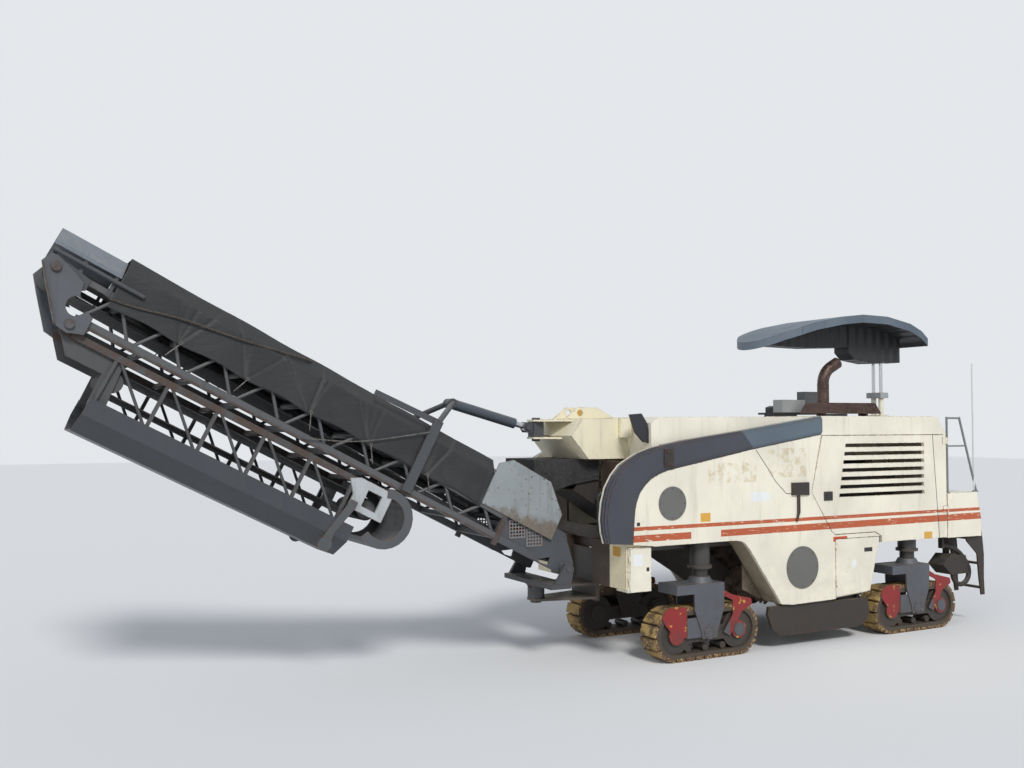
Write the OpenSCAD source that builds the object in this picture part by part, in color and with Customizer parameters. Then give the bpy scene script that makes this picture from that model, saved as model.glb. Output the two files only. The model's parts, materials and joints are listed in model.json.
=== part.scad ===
// Cold planer on four steered crawler tracks, with a folding front-loading conveyor.
// X runs forward from the front axle, Y to the machine's left, Z up from the ground.
// The model is moved along X at the end so that the origin lies under its middle.

/* [Machine body] */
// Half of the width over the side walls
half_w = 940; // [900:5:1000]
// Thickness of the side walls
wall_t = 40; // [30:1:60]
// Height of the side walls' lower edge behind the wheel arch
sill_z = 500; // [450:5:560]
// Height of the rear body's underside
rear_z = 1095; // [1060:5:1130]
// Height of the engine hood's top
hood_z = 2580; // [2540:5:2650]
// Clearance around doors
door_gap = 6; // [4:1:10]

/* [Tracks] */
// Distance between the front and the rear axle
wheelbase = 3170; // [3120:5:3220]
// Distance between the left and right track centres
track_gauge = 1490; // [1460:5:1530]
// Width of a track pad
track_w = 260; // [230:5:280]
// Length over the track
track_len = 1390; // [1340:10:1410]
// Height over the track
track_h = 560; // [530:5:570]
// Thickness of a track pad
pad_t = 42; // [30:1:50]
// Number of pads around a track
pads = 26; // [22:2:30]
// Radius of the steered leg
leg_r = 85; // [70:1:95]
// Clearance of the leg in its sleeve
leg_gap = 0.05; // [0.02:0.01:0.09]

/* [Milling drum] */
// Distance of the drum behind the front axle
drum_back = 1286; // [1260:1:1310]
// Height of the drum's axis
drum_z = 890; // [870:5:920]
// Radius over the tool tips
drum_r = 490; // [470:5:500]
// Milling width
drum_w = 1000; // [900:10:1040]
// Rows of tool holders around the drum
tool_rows = 14; // [8:1:18]
// Tool holders along the drum
tool_cols = 13; // [9:2:15]

/* [Conveyor] */
// Slope of the conveyor at rest
boom_angle = 27; // [25:0.5:29]
// Distance of the slewing axis ahead of the front axle
slew_x = 1600; // [1580:5:1640]
// Distance of the luffing axis ahead of the front axle
luff_x = 1500; // [1480:5:1520]
// Height of the luffing axis
luff_z = 1000; // [980:5:1020]
// Half of the width between the conveyor's chords
chord_y = 400; // [380:5:420]
// How far the head's pins lie ahead of the folding section's pins
knee_ahead = 310; // [290:2:330]
// Length from the luffing axis to the folding section's pins at rest
fold_u = 5308; // [5290:2:5320]
// Drop of the folding section's pins below the luffing axis, across the belt
fold_w = -107; // [-115:1:-100]
// Length of the folding section
tip_len = 3040; // [2940:10:3060]
// Radius of the belts' end drums
drum_end_r = 90; // [80:1:95]
// Width of the belt
belt_w = 600; // [500:10:640]
// Height of the cover's ridge above the luffing axis, across the belt
cover_w = 670; // [620:5:700]

/* [Canopy] */
// Half of the canopy's width
roof_half_w = 480; // [440:10:520]
// Thickness of the canopy's rim
roof_t = 95; // [70:5:120]
// Radius of the canopy's inner posts
post_r = 22; // [18:1:26]

/* [Hidden] */
$fn = 48;
eps = 0.01;
track_y = track_gauge / 2;
axle_rear = -wheelbase;
drum_x = -drum_back;
wall_in = half_w - wall_t;
// inner faces of the drum's housing, and the two faces of the beams beside it
housing_y = 560;
beam_in = housing_y + 30;
beam_out = beam_in + 65;
beam_low = 1150;
beam_top = 1330;
// wall of the sleeves around the tracks' legs, and the gap between plates welded face to face
sleeve_r = leg_r + 22;
seat = 0.3;
trim_y = half_w + 20;
boom_cos = cos(boom_angle);
boom_sin = sin(boom_angle);
// pins of the folding arms, and the line between the belt's end drums
knee_u = fold_u + knee_ahead;
knee_w = 265;
belt_tail = [90, 110];
belt_head = [knee_u - 18, 240];
// where the truss starts ahead of the tail box
truss_u = 900;
// where the covers of the head start behind the cloth
cover_u = fold_u - 178;
belt_tilt = atan2(belt_head[1] - belt_tail[1], belt_head[0] - belt_tail[0]);
// height of the belt's centre line at a distance along the conveyor
function belt_line(u) = belt_tail[1] + (u - belt_tail[0]) * tan(belt_tilt);
// top of the upper chord
function chord_top(u) = belt_line(u) + 70;
// front-most and rear-most points, which set the place of the origin
nose_u = knee_u + 117;
front_x = luff_x + nose_u * boom_cos - 250 * boom_sin;
rear_x = -4395;
mid_x = (front_x + rear_x) / 2;
// the lift cylinder's two ends at rest
apex = [2610, 2700];
lift_pin = [1720, 2455];
lift_len = norm(apex - lift_pin);
lift_tilt = atan2(apex[1] - lift_pin[1], apex[0] - lift_pin[0]);
// canopy posts
post_x = -3320;
post_ys = [120, 240];
box_z = 2885;

// ---- placing helpers ----

// extrudes an outline drawn in X and Z between two values of Y
module side(y0, y1) {
    translate([0, y1, 0]) rotate([90, 0, 0]) linear_extrude(y1 - y0) children();
}
// extrudes an outline drawn in Y and Z between two values of X
module cross(x0, x1) {
    translate([x0, 0, 0]) rotate([90, 0, 90]) linear_extrude(x1 - x0) children();
}
module both_sides() { children(); mirror([0, 1, 0]) children(); }
// box given by its low and high corners
module block(lo, hi) { translate(lo) cube(hi - lo); }
// cylinder along Y
module rod_y(x, z, y0, y1, r) {
    translate([x, y1, z]) rotate([90, 0, 0]) cylinder(r = r, h = y1 - y0);
}
// round tube between two points
module tube(a, b, r) {
    d = b - a;
    l = norm(d);
    translate(a) rotate([0, acos(d[2] / l), atan2(d[1], d[0])]) cylinder(r = r, h = l, $fn = 16);
}
// twelve-sided rail between two points
module rail(a, b, r) {
    d = b - a;
    l = norm(d);
    translate(a) rotate([0, acos(d[2] / l), atan2(d[1], d[0])]) cylinder(r = r, h = l, $fn = 12);
}
// bent round bar or hose in a plane along X: an arc about a centre, between two angles
module bend(cx, y, cz, r, a0, a1, thick) {
    translate([cx, y, cz]) rotate([90, 0, 0]) rotate([0, 0, a0]) rotate_extrude(angle = a1 - a0)
        translate([r, 0]) circle(r = thick);
}
// the conveyor's own frame: X along the belt, Z across it, from the luffing axis
module on_boom() {
    translate([luff_x, 0, luff_z]) rotate([0, -boom_angle, 0]) children();
}
function arc_points(cx, cz, r, a0, a1, n) =
    [for (i = [0:n]) let (a = a0 + (a1 - a0) * i / n) [cx + r * cos(a), cz + r * sin(a)]];

// ---- body outlines, X and Z ----

arch_front = [[-293, 1237], [-400, 1228], [-453, 1207], [-514, 1150], [-927, 581]];
trim_outer = [[-1590, 2575], [-419, 2414], [338, 2317], [723, 2253], [924, 2194], [1060, 2125],
    [1146, 2076], [1240, 1975], [1315, 1850], [1358, 1700], [1376, 1534], [1362, 1400], [1330, 1290]];
trim_inner = [[1003, 1265], [988, 1450], [976, 1617], [950, 1710], [914, 1787], [850, 1865],
    [776, 1926], [680, 1972], [572, 2009], [287, 2060], [-585, 2217], [-1590, 2371]];

module middle_outline() {
    polygon(concat([[717, 1232]], [for (p = trim_inner) [p[0] - 2, p[1] - 4]],
        [[-1433, 1720], [-1731, 1270], [-1790, 1226], [-1790, sill_z], [-1140, sill_z - 13],
        [-974, sill_z + 6]], [for (i = [4:-1:0]) arch_front[i]]));
}

// ---- chassis ----

module leg_sleeve(x) {
    translate([x, track_y, 950]) cylinder(r = sleeve_r, h = 640);
    translate([x, track_y, 950]) cylinder(r = leg_r + 45, h = 30);
}

module frame() color("wheat") difference() {
    union() {
        both_sides() {
            // longitudinal beam, and the legs' sleeves with their arms on its outer face
            block([-4200, beam_in, beam_low], [770, beam_out, beam_top]);
            for (x = [0, axle_rear]) difference() {
                union() {
                    leg_sleeve(x);
                    block([x - 90, beam_out, beam_low + 10], [x + 90, track_y - 20, beam_top - 10]);
                }
                block([x - 200, beam_in, beam_low - seat], [x + 200, beam_out + seat, beam_top + seat]);
            }
        }
        // cross members
        block([-560, -beam_out, beam_top + seat], [-460, beam_out, 1400]);
        for (x = [-1990, -4100])
            block([x, seat - beam_in, beam_low], [x + 100, beam_in - seat, beam_top]);
        // floor of the engine bay around the rear sleeves, narrower between the storage compartments
        difference() {
            block([-3660, -wall_in, 1100], [-2500, wall_in, beam_low - seat]);
            for (y = [-track_y, track_y])
                translate([axle_rear, y, 1090]) cylinder(r = sleeve_r + seat, h = 70);
        }
        block([-2500 + seat, -beam_out, 1100], [-1890, beam_out, beam_low - seat]);
        // tail wall and rear step
        block([-4285, -wall_in, rear_z], [-4245, wall_in, 1500]);
        block([-4211, -wall_in, 1600], [-3664, wall_in, 1640]);
    }
    // the four bores in which the tracks' legs turn
    for (x = [0, axle_rear], y = [-track_y, track_y])
        translate([x, y, 940]) cylinder(r = leg_r + leg_gap, h = 660);
}

module side_walls() color("wheat") both_sides() {
    side(wall_in, half_w) middle_outline();
    // inner lining that carries the trim along the nose
    side(870, wall_in) polygon(concat([for (i = [3:12]) trim_outer[i]], [[1003, 1290], [900, 1290],
        [703, 1500], [703, 2252]]));
    // sill above the storage door and under the engine bay
    side(wall_in, half_w) polygon([[-1790, 1224], [-2420, 1224], [-2520, 1178], [-1790, 1178]]);
    // hinge leaves of the storage door
    for (z = [640, 1060]) block([-1797.7, half_w - 20, z + 5], [-1785, half_w + 10, z + 55]);
    // corner walls of the low rear body
    side(wall_in, half_w) polygon([[-3674, rear_z], [-4285, rear_z - 5], [-4285, 1300], [-4211, 1640],
        [-3674, 1640]]);
}

module stores() color("wheat") both_sides() difference() {
    // open-fronted compartments behind the storage doors
    side(beam_out, half_w - 45) polygon([[-1790, 1226], [-2500, 1226], [-2500, 1150], [-2335, 535],
        [-1790, sill_z]]);
    side(beam_out + 20, half_w) polygon([[-1810, 1180], [-2460, 1180], [-2455, 1130], [-2305, 570],
        [-1810, sill_z + 30]]);
}

module small_box() color("wheat") difference() {
    // compartment for small parts in the left front corner
    block([770, 700, 775], [1042, half_w - 35, 1229]);
    block([790, 720, 795], [1024, half_w, 1209]);
}

module drum_housing() color("dimgray") {
    both_sides() {
        // side walls that carry the drum
        side(housing_y, beam_in) polygon([[-1860, sill_z + 20], [-1860, 1440], [-720, 1440],
            [-720, 640], [-960, sill_z + 20]]);
        // lining of the wheel arch's rear slope
        side(beam_out, wall_in) polygon([[-453, 1207], [-514, 1150], [-927, 581], [-973, 505],
            [-1003, 505], [-953, 597], [-543, 1187], [-453, 1243]]);
    }
    // crown and rear wall, with the gap towards the collecting conveyor in front
    side(-housing_y, housing_y) polygon([[-1860, 1410], [-1860, 1440], [-800, 1440], [-800, 1410]]);
    side(-beam_in, beam_in) polygon([[-1890, sill_z + 60], [-1860, sill_z + 60], [-1860, 1440],
        [-1890, 1440]]);
}

module nose() color("wheat") {
    difference() {
        union() {
            both_sides() {
                // front corner boxes
                difference() {
                    block([770, 250, 800], [1060, 890, 1270]);
                    block([830, 310, 780], [1000, 830, 1240]);
                }
                // lugs that hold the collecting conveyor in its opening
                block([975, 280.3, 1650], [1000, 352, 1800]);
            }
            block([820, -250, 1150], [940, 250, 1270]);
            block([770, -250, 800], [960, 250, 860]);
            // bulkhead around the collecting conveyor
            difference() {
                block([975, -870, 1270.01], [1000, 870, 2100]);
                block([970, -350, 1400], [1010, 350, 2200]);
            }
            block([975, -250, 1260], [1000, 250, 1280]);
        }
        // room for the compartment in the left corner
        block([760, 699.7, 775], [1070, half_w, 1270]);
    }
    // plates in front of that compartment and over it
    block([1042.3, 700, 800], [1060, 890, 1269.7]);
    block([770, 700, 1229.3], [1042, 890, 1269.7]);
}

module lower_bracket() color("wheat") {
    // lower bracket of the conveyor: two plates with bores on the slewing axis
    for (z = [620, 765]) difference() {
        translate([0, 0, z]) linear_extrude(25) polygon([[1000, -250], [1000, 250], [slew_x, 110],
            [slew_x + 70, 70], [slew_x + 70, -70], [slew_x, -110]]);
        translate([slew_x, 0, z - 1]) cylinder(r = 45, h = 27);
    }
    block([960, -250, 600], [1000, 250, 1150]);
}

// outline of the engine's side door, and of the fixed panel on the platform's side
door_outline = [[-1604, 2355], [-1441, 1720], [-1738, 1274], [-1798, 1232], [-2424, 1232],
    [-2534, 1180], [-2534, 1104], [-3658, 1104], [-3658, 2355]];

module front_hood() color("ivory") {
    difference() {
        union() {
            side(-wall_in, wall_in) polygon([[-1400, 1640], [-1400, 2330], [-585, 2200], [287, 2045],
                [560, 1992], [700, 1940], [700, 1640]]);
            side(-840, 840) polygon([[-1590, 2360], [-1590, hood_z - 8], [600, 2562], [700, 2500],
                [700, 1900], [287, 1990], [-1400, 2260]]);
        }
        // channel for the pickup belt
        block([150, -370, 1500], [800, 370, 1900]);
        // clear of the leg sleeves
        both_sides() translate([0, track_y, 1500]) cylinder(r = leg_r + 40, h = 120);
    }
}

module trim_band(k) {
    polygon(concat([for (i = [0:12]) trim_outer[i] * (1 - k) + trim_inner_at(i) * k],
        [for (i = [12:-1:0]) trim_outer[i] * k + trim_inner_at(i) * (1 - k)]));
}
function trim_inner_at(i) = i == 0 ? trim_inner[11] : i == 1 ? [-585, 2217] : i == 2 ? [287, 2060]
    : i == 3 ? [572, 2009] : i == 4 ? [680, 1972] : i == 5 ? [776, 1926] : i == 6 ? [850, 1865]
    : i == 7 ? [914, 1787] : i == 8 ? [950, 1710] : i == 9 ? [976, 1617] : i == 10 ? [988, 1450]
    : i == 11 ? [996, 1350] : [1003, 1265];

module side_trim() color("slategray") both_sides() {
    side(wall_in, half_w) trim_band(0);
    side(half_w, half_w + 12) trim_band(0.06);
    side(half_w + 12, trim_y) trim_band(0.14);
    // inner shoulder along the top edge
    side(840, wall_in) polygon([[-1590, 2575], [-419, 2414], [338, 2317], [600, 2273], [600, 2230],
        [287, 2280], [-419, 2370], [-1590, 2530]]);
}

module cover(x, z, r) {
    rod_y(x, z, half_w, half_w + 8, r);
    for (i = [0:7]) rod_y(x + (r - 22) * cos(45 * i), z + (r - 22) * sin(45 * i), half_w + 8,
        half_w + 15, 8);
}
module round_covers() color("gray") both_sides() {
    cover(507, 1666, 175);
    cover(drum_x, drum_z, 235);
}

module engine_hood() color("ivory") {
    // hood top over the engine
    difference() {
        side(20, half_w) polygon([[-1593, 2361], [-1593, hood_z], [-3505, hood_z], [-3664, 2361]]);
        for (y = post_ys) translate([post_x, y, 2300]) cylinder(r = post_r + 4, h = 300);
    }
    // rear wall and wall towards the platform
    difference() {
        block([-3664, 20, 1150], [-3640, wall_in - 10, 2370]);
        block([-3670, beam_in, 1140], [-3630, beam_out, 1330]);
    }
    side(20, 60) polygon([[-3650, 1150], [-3650, 2365], [-1594, 2365], [-1594, 2357], [-1404, 2257],
        [-1404, 1440], [-1890, 1440], [-1890, 1330], [-1990, 1330], [-1990, 1150]]);
    // hinge leaves of the side door
    for (z = [1400, 2240]) block([-3674, wall_in - 60, z], [-3663, half_w + 18, z + 90]);
}

module engine() color("dimgray") {
    block([-3010, 180, 1335], [-1960, 700, 1980]);
    for (x = [-2850, -2150], y = [200, 480]) block([x - 50, y, 1150], [x + 50, y + 60, 1336]);
    for (x = [-2700, -2250]) block([x - 60, 280, 1979], [x + 60, 600, 2080]);
}

module platform() color("ivory") {
    // floor with its front edge on the crown of the drum's housing, and the right wall
    block([-3660, -wall_in, 1600], [-1410, 20, 1640]);
    side(-half_w, -wall_in) polygon(door_outline);
}

module controls() color("darkslategray") {
    // operator's seat on its post and the control console
    translate([-2950, -480, 1640]) {
        cylinder(r = 60, h = 380);
        block([-230, -230, 380], [230, 230, 480]);
        block([-300, -220, 440], [-200, 220, 980]);
    }
    block([-2330, -600, 1640], [-2130, -220, 2610]);
    table_z = 2632;
    block([-2798, -700, 2606], [-2115, -220, table_z]);
    // hooded panel, box of switches and the upright screen
    side(-690, -500) polygon([[-2230, table_z - 1], [-2230, 2700], [-2300, 2722], [-2730, 2722],
        [-2740, table_z - 1]]);
    block([-2498, -420, table_z - 1], [-2118, -250, 2793]);
    block([-2796, -420, table_z - 1], [-2522, -280, 2900]);
}

module pickup_belt() color("dimgray") {
    // collecting conveyor from the drum to the nose
    translate([-700, 0, 640]) rotate([0, -31.5, 0]) {
        difference() {
            block([0, -280, -60], [2300, 280, 190]);
            block([-10, -262, -40], [2310, 262, 200]);
        }
        block([60, -250, 10], [2240, 250, 100]);
        for (u = [60, 2240]) rod_y(u, 55, -270, 270, 55);
    }
}

module pickup_hood() color("black") {
    // rubber hood over the collecting conveyor's discharge
    difference() {
        side(-310, 310) polygon([[1000, 2119.7], [1800, 2119.7], [1800, 1990], [1560, 1790],
            [1300, 1860], [1000, 1900]]);
        side(-295, 295) polygon([[990, 2104], [1785, 2104], [1785, 1970], [1560, 1770],
            [1290, 1830], [990, 1870]]);
    }
}

tower = [[700, 2120], [700, 2553], [1293, 2542], [1428, 2365], [1220, 2120]];

module top_bracket() color("wheat") {
    // hollow tower that carries the conveyor's upper pivot
    difference() {
        union() {
            side(-450, 450) polygon(tower);
            translate([785, 490, 2345]) cylinder(r = 68, h = 206);
        }
        side(-430, 430) polygon([[690, 2140], [690, 2533], [1280, 2524], [1400, 2365], [1210, 2140]]);
    }
    // two lugs with bores on the slewing axis, seated on the tower's sloped face
    for (z = [2330, 2515]) difference() {
        translate([0, 0, z]) linear_extrude(20) polygon([[1300, -300], [1300, 300], [slew_x, 130],
            [slew_x + 70, 70], [slew_x + 70, -70], [slew_x, -130]]);
        translate([slew_x, 0, z - 1]) cylinder(r = 30, h = 22);
        side(-460, 460) offset(delta = 0.3) polygon(tower);
    }
    both_sides() side(110, 130) difference() {
        polygon([[1316, 2535], [1316, 2545], [1150, 2670], [900, 2665], [705, 2562], [705, 2552]]);
        translate([1125, 2609]) circle(r = 35);
    }
}

module skids() color("dimgray") both_sides() {
    // side plates that ride on the ground beside the drum
    side(860, wall_in) polygon([[-830, 480], [-1030, 480], [-1030, 640],
        [-1110, 720], [-1780, 720], [-1780, 470], [-2330, 470], [-2360, 300], [-2300, 200],
        [-2180, 150], [-1000, 150], [-880, 230], [-815, 400]]);
}

module exhaust() color("sienna") {
    // silencer with sloped ends on the hood, and its pipe turned to the rear
    pipe = [-2185, 380];
    turn = 230;
    lean = 62;
    side(pipe[1] - 100, pipe[1] + 100) polygon([[-1895, hood_z + 34], [-1985, hood_z + 150],
        [-2005, hood_z + 163], [-2945, hood_z + 166], [-2965, hood_z + 155], [-3060, hood_z + 34]]);
    translate([pipe[0], pipe[1], hood_z + 160]) cylinder(r = 70, h = 235);
    bend(pipe[0] - turn, pipe[1], 2970, turn, 0, lean, 68);
    translate([pipe[0] - turn + turn * cos(lean), pipe[1], 2970 + turn * sin(lean)])
        rotate([0, -lean, 0]) translate([0, 0, -5]) cylinder(r = 70, h = 135);
    for (x = [-2850, -2150]) block([x - 20, pipe[1] - 60, hood_z], [x + 20, pipe[1] + 60, hood_z + 40]);
}

module handrails() color("silver") {
    y = half_w - 20;
    corner = [-3930, 2560];
    both_sides() {
        for (x = [-4225, -3700]) translate([x, y, 1640]) cylinder(r = 28, h = 14);
        // sloped and upright legs, the rail over them and the one between them
        rail([-4225, y, 1645], [corner[0] + 5, y, corner[1] + 12], 14);
        rail([-3700, y, 1645], [-3700, y, corner[1] + 15], 14);
        rail([corner[0] - 6, y, corner[1]], [-3700, y, corner[1]], 12);
        rail([-4041, y, 2216], [-3700, y, 2216], 10);
    }
    // marker rod at the rear left corner
    translate([-4180, y, 1640]) cylinder(r = 9, h = 1600);
    translate([-4180, y, 1640]) cylinder(r = 20, h = 14);
}

module ladder() color("dimgray") {
    // rear steps: two cheeks that taper down from the tail wall, and treads between them
    for (y = [480, 868]) side(y, y + 22) polygon([[-4285, 1300], [-4330, 1300], [-4372, 1010],
        [rear_x + 5, 840], [rear_x + 12, 560], [rear_x, 345], [rear_x + 60, 345], [-4300, 560],
        [-4270, 860], [-4080, 1030], [-4070, 1085], [-4285, 1085]]);
    for (z = [420, 720, 1020]) block([rear_x + 12, 500, z], [-4320, 870, z + 25]);
}

module posts() color("gainsboro") difference() {
    // outer tubes of the canopy's two telescopic posts, and the clamp box on top of them
    union() {
        for (y = post_ys) translate([post_x, y, hood_z]) cylinder(r = post_r + 10, h = box_z - hood_z);
        block([post_x - 70, post_ys[0] - 55, box_z - 70], [post_x + 70, post_ys[1] + 55, box_z]);
        block([post_x - 80, post_ys[0] - 60, hood_z], [post_x + 80, post_ys[1] + 60, hood_z + 20]);
    }
    for (y = post_ys) translate([post_x, y, hood_z - 1]) cylinder(r = post_r + 0.05, h = 400);
}

// ---- tracks ----

track_r = track_h / 2;
loop_len = 2 * (track_len - track_h) + PI * (track_h - 2 * pad_t);
// a point at a distance along the loop, raised by t over the chain
function loop_point(s, t) =
    let (l = track_len - track_h, r = track_r - pad_t, c = PI * r,
        q = s - floor(s / loop_len) * loop_len)
    q < l ? [-l / 2 + q, r + t]
    : q < l + c ? let (a = 90 - (q - l) / r * 180 / PI) [l / 2 + (r + t) * cos(a), (r + t) * sin(a)]
    : q < 2 * l + c ? [l / 2 - (q - l - c), -r - t]
    : let (a = -90 - (q - 2 * l - c) / r * 180 / PI) [-l / 2 + (r + t) * cos(a), (r + t) * sin(a)];

module track_loop() {
    pitch = loop_len / pads;
    difference() {
        side(-track_w / 2, track_w / 2) polygon([for (i = [0:pads - 1], k = [[0.04, 0], [0.1, 1],
            [0.9, 1], [0.96, 0]]) loop_point((i + k[0]) * pitch, k[1] * pad_t)]);
        side(-track_w / 2 - 1, track_w / 2 + 1) hull_loop(track_r - pad_t - 38);
    }
}
// plain loop outline of a given end radius
module hull_loop(r) {
    l = track_len - track_h;
    translate([-l / 2, -r]) square([l, 2 * r]);
    for (x = [-l / 2, l / 2]) translate([x, 0]) circle(r = r);
}

module track(x, y) color("peru") translate([x, y, track_r]) track_loop();

module bogie(x, y) color("gray") translate([x, y, 0]) {
    l = track_len - track_h;
    w = track_w / 2;
    wheel_r = track_r - pad_t - 38.3;
    pivot_z = 290;
    // side frames, drive hub, idler and bottom rollers
    side(-w + 20, w - 20) difference() {
        translate([-l / 2, track_r - 90]) square([l, 150]);
        for (k = [-l / 2, l / 2]) translate([k, track_r]) circle(r = 60);
    }
    for (k = [-l / 2, l / 2]) rod_y(k, track_r, -w + 25, w - 25, wheel_r);
    for (k = [-l / 2, l / 2]) rod_y(k, track_r, -w - 12, w + 12, 95);
    rod_y(-l / 2, track_r, -w - 24, w + 24, 70);
    for (k = [-0.28, 0, 0.28]) rod_y(k * l, 76.3 + pad_t, -w + 40, w - 40, 38);
    // fork over the track, with the pivot pin through the frame and its bolted end covers
    for (s = [-1, 1]) side(min(s * (w + 14), s * (w + 34)), max(s * (w + 14), s * (w + 34)))
        polygon([[-200, 735], [-192, 520], [-115, 320], [-95, 225], [95, 225], [115, 320], [192, 520],
            [200, 735]]);
    rod_y(0, pivot_z, -w - 42, w + 42, 76);
    for (i = [0:5]) rod_y(56 * cos(60 * i), pivot_z + 56 * sin(60 * i), -w - 50, w + 50, 9);
    block([-200, -w - 34, 700], [430, w + 34, 800]);
    translate([0, 0, 800]) cylinder(r1 = 140, r2 = leg_r + 20, h = 60);
    translate([0, 0, 800]) cylinder(r = leg_r, h = 560);
    // on the outer side: rounded guard ahead of the fork, stepped guard behind it, and a link plate
    mirror([0, y > 0 ? 0 : 1, 0]) {
        side(w + 2, w + 12) {
            polygon([[603, 470], [585, 520], [545, 558], [500, 576], [440, 582], [285, 568], [280, 250],
                [370, 252], [430, 275], [500, 335], [560, 400]]);
            polygon([[-185, 705], [-185, 664], [-334, 595], [-332, 442], [-207, 265], [-290, 222],
                [-398, 365], [-452, 463], [-600, 533], [-587, 596], [-321, 658], [-230, 705]]);
        }
        block([60, w + 2, 240], [286, w + 20, 450]);
    }
}

// ---- drum ----

module drum() color("saddlebrown") translate([drum_x, 0, drum_z]) {
    core_r = drum_r - 90;
    rod_y(0, 0, -drum_w / 2, drum_w / 2, core_r);
    rod_y(0, 0, -housing_y + 0.3, housing_y - 0.3, 150);
    // tool holders along two opposed spirals
    for (j = [0:tool_cols - 1], i = [0:tool_rows / 2 - 1])
        let (k = abs(j - (tool_cols - 1) / 2), a = 720 / tool_rows * i + 21 * k,
            y = (j - (tool_cols - 1) / 2) * (drum_w - 60) / (tool_cols - 1))
        rotate([0, a, 0]) translate([core_r - 8, y - 18, -30])
            rotate([90, 0, 0]) translate([0, 0, -36])
            linear_extrude(36) polygon([[0, 0], [60, 10], [96, 40], [60, 50], [0, 60]]);
}

// ---- conveyor ----

module slew_cradle() color("gray") {
    // lower cradle that slews in the chassis bracket and carries the luffing pins
    translate([slew_x, 0, 600]) cylinder(r = 44.95, h = 195);
    translate([slew_x, 0, 646]) cylinder(r = 90, h = 118);
    translate([slew_x, 0, 598]) cylinder(r = 60, h = 21);
    translate([slew_x, 0, 791]) cylinder(r = 110, h = 10);
    block([slew_x - 130, -510, 800], [slew_x + 110, 510, 850]);
    both_sides() side(chord_y + 65, chord_y + 105) difference() {
        polygon([[luff_x - 30, 850], [luff_x - 65, luff_z], [luff_x - 40, luff_z + 60],
            [luff_x + 40, luff_z + 60], [luff_x + 65, luff_z], [luff_x + 160, 850]]);
        translate([luff_x, luff_z]) circle(r = 30.05);
    }
}

module slew_head() color("gray") {
    // upper head that turns in the top bracket, and two plates around the lift cylinder's eye
    collar = 62;
    translate([slew_x, 0, 2305]) cylinder(r = 29.95, h = 250);
    block([slew_x - collar, -collar, 2351], [slew_x + collar, collar, 2514]);
    translate([slew_x, 0, 2535.3]) cylinder(r = 45, h = 20);
    translate([slew_x, 0, 2305]) cylinder(r = 45, h = 24.7);
    both_sides() {
        side(32, 52) polygon([[slew_x + collar + 0.3, 2395], [slew_x + collar + 0.3, 2508],
            [lift_pin[0] + 30, 2508], [lift_pin[0] + 55, lift_pin[1]], [lift_pin[0] + 20, 2400]]);
        rod_y(lift_pin[0], lift_pin[1], 51, 68, 34);
    }
}

// lengthwise chords with uprights and diagonals; the upper one follows the belt
module boom_truss(u0, u1, bays) {
    step = (u1 - u0) / bays;
    both_sides() {
        block([u0, chord_y - 30, -75], [u1, chord_y + 30, -5]);
        side(chord_y - 20, chord_y + 30) polygon([[u0, chord_top(u0) - 50], [u0, chord_top(u0)],
            [u1 + 120, chord_top(u1 + 120)], [u1 + 120, chord_top(u1 + 120) - 50]]);
        for (i = [0:bays - 1]) let (a = u0 + i * step + 30, m = u0 + (i + 0.5) * step) {
            tube([a, chord_y, -20], [m - 12, chord_y, chord_top(m) - 20], 16);
            tube([m + 12, chord_y, chord_top(m) - 24], [a + step - 60, chord_y, -16], 15);
        }
    }
    for (i = [0:bays]) let (u = u0 + (u1 - 160 - u0) * i / bays)
        block([u, 30.3 - chord_y, -70], [u + 40, chord_y - 30.3, -25]);
}

// middles of the two perforated plates on each side of the tail box
grille_at = [[685, 132], [465, 138]];

module tail_grilles() color("gray") on_boom() both_sides() {
    half = 95;
    // square perforated plates that stand upright while the conveyor slopes
    for (c = grille_at) translate([c[0], chord_y + 0.3, c[1]]) rotate([0, boom_angle, 0])
        difference() {
            block([-half, 0, -half], [half, 8, half]);
            for (i = [-2:2], j = [-2:2]) rod_y(34 * i, 34 * j, -1, 9, 12, $fn = 16);
        }
}

module boom_tail() color("dimgray") on_boom() {
    // tail box around the belt's lower drum, with its luffing bosses
    both_sides() {
        difference() {
            side(chord_y - 18, chord_y) polygon([[-90, -60], [-60, -75], [truss_u, -75],
                [truss_u, 330], [150, 330], [-90, 90]]);
            // openings behind the first grille and beside the drum
            side(chord_y - 20, chord_y + 2) {
                translate(grille_at[0]) circle(r = 80);
                polygon([[185, -48], [198, 34], [330, -42], [280, -62]]);
            }
        }
        block([400, chord_y, -75], [truss_u, chord_y + 30, -5]);
        block([truss_u - 55, chord_y, -120], [truss_u, chord_y + 30, 420]);
        rod_y(0, 0, chord_y - 18, chord_y + 60, 62);
        rod_y(0, 0, chord_y + 60, chord_y + 112, 30);
    }
    rod_y(belt_tail[0], belt_tail[1], 18.3 - chord_y, chord_y - 18.3, drum_end_r - 0.3);
}

module boom_frame() color("dimgray") on_boom() {
    boom_truss(truss_u, fold_u - 10, 9);
    // carrying rollers under the belt
    for (i = [1:8]) rod_y(600 * i + 200, belt_line(600 * i + 200) + drum_end_r - 34.4,
        20.3 - chord_y, chord_y - 20.3, 34);
}

// posts under the covers of the head
head_posts = [cover_u + 15, (cover_u + knee_u) / 2 + 46, knee_u + 42];

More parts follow.
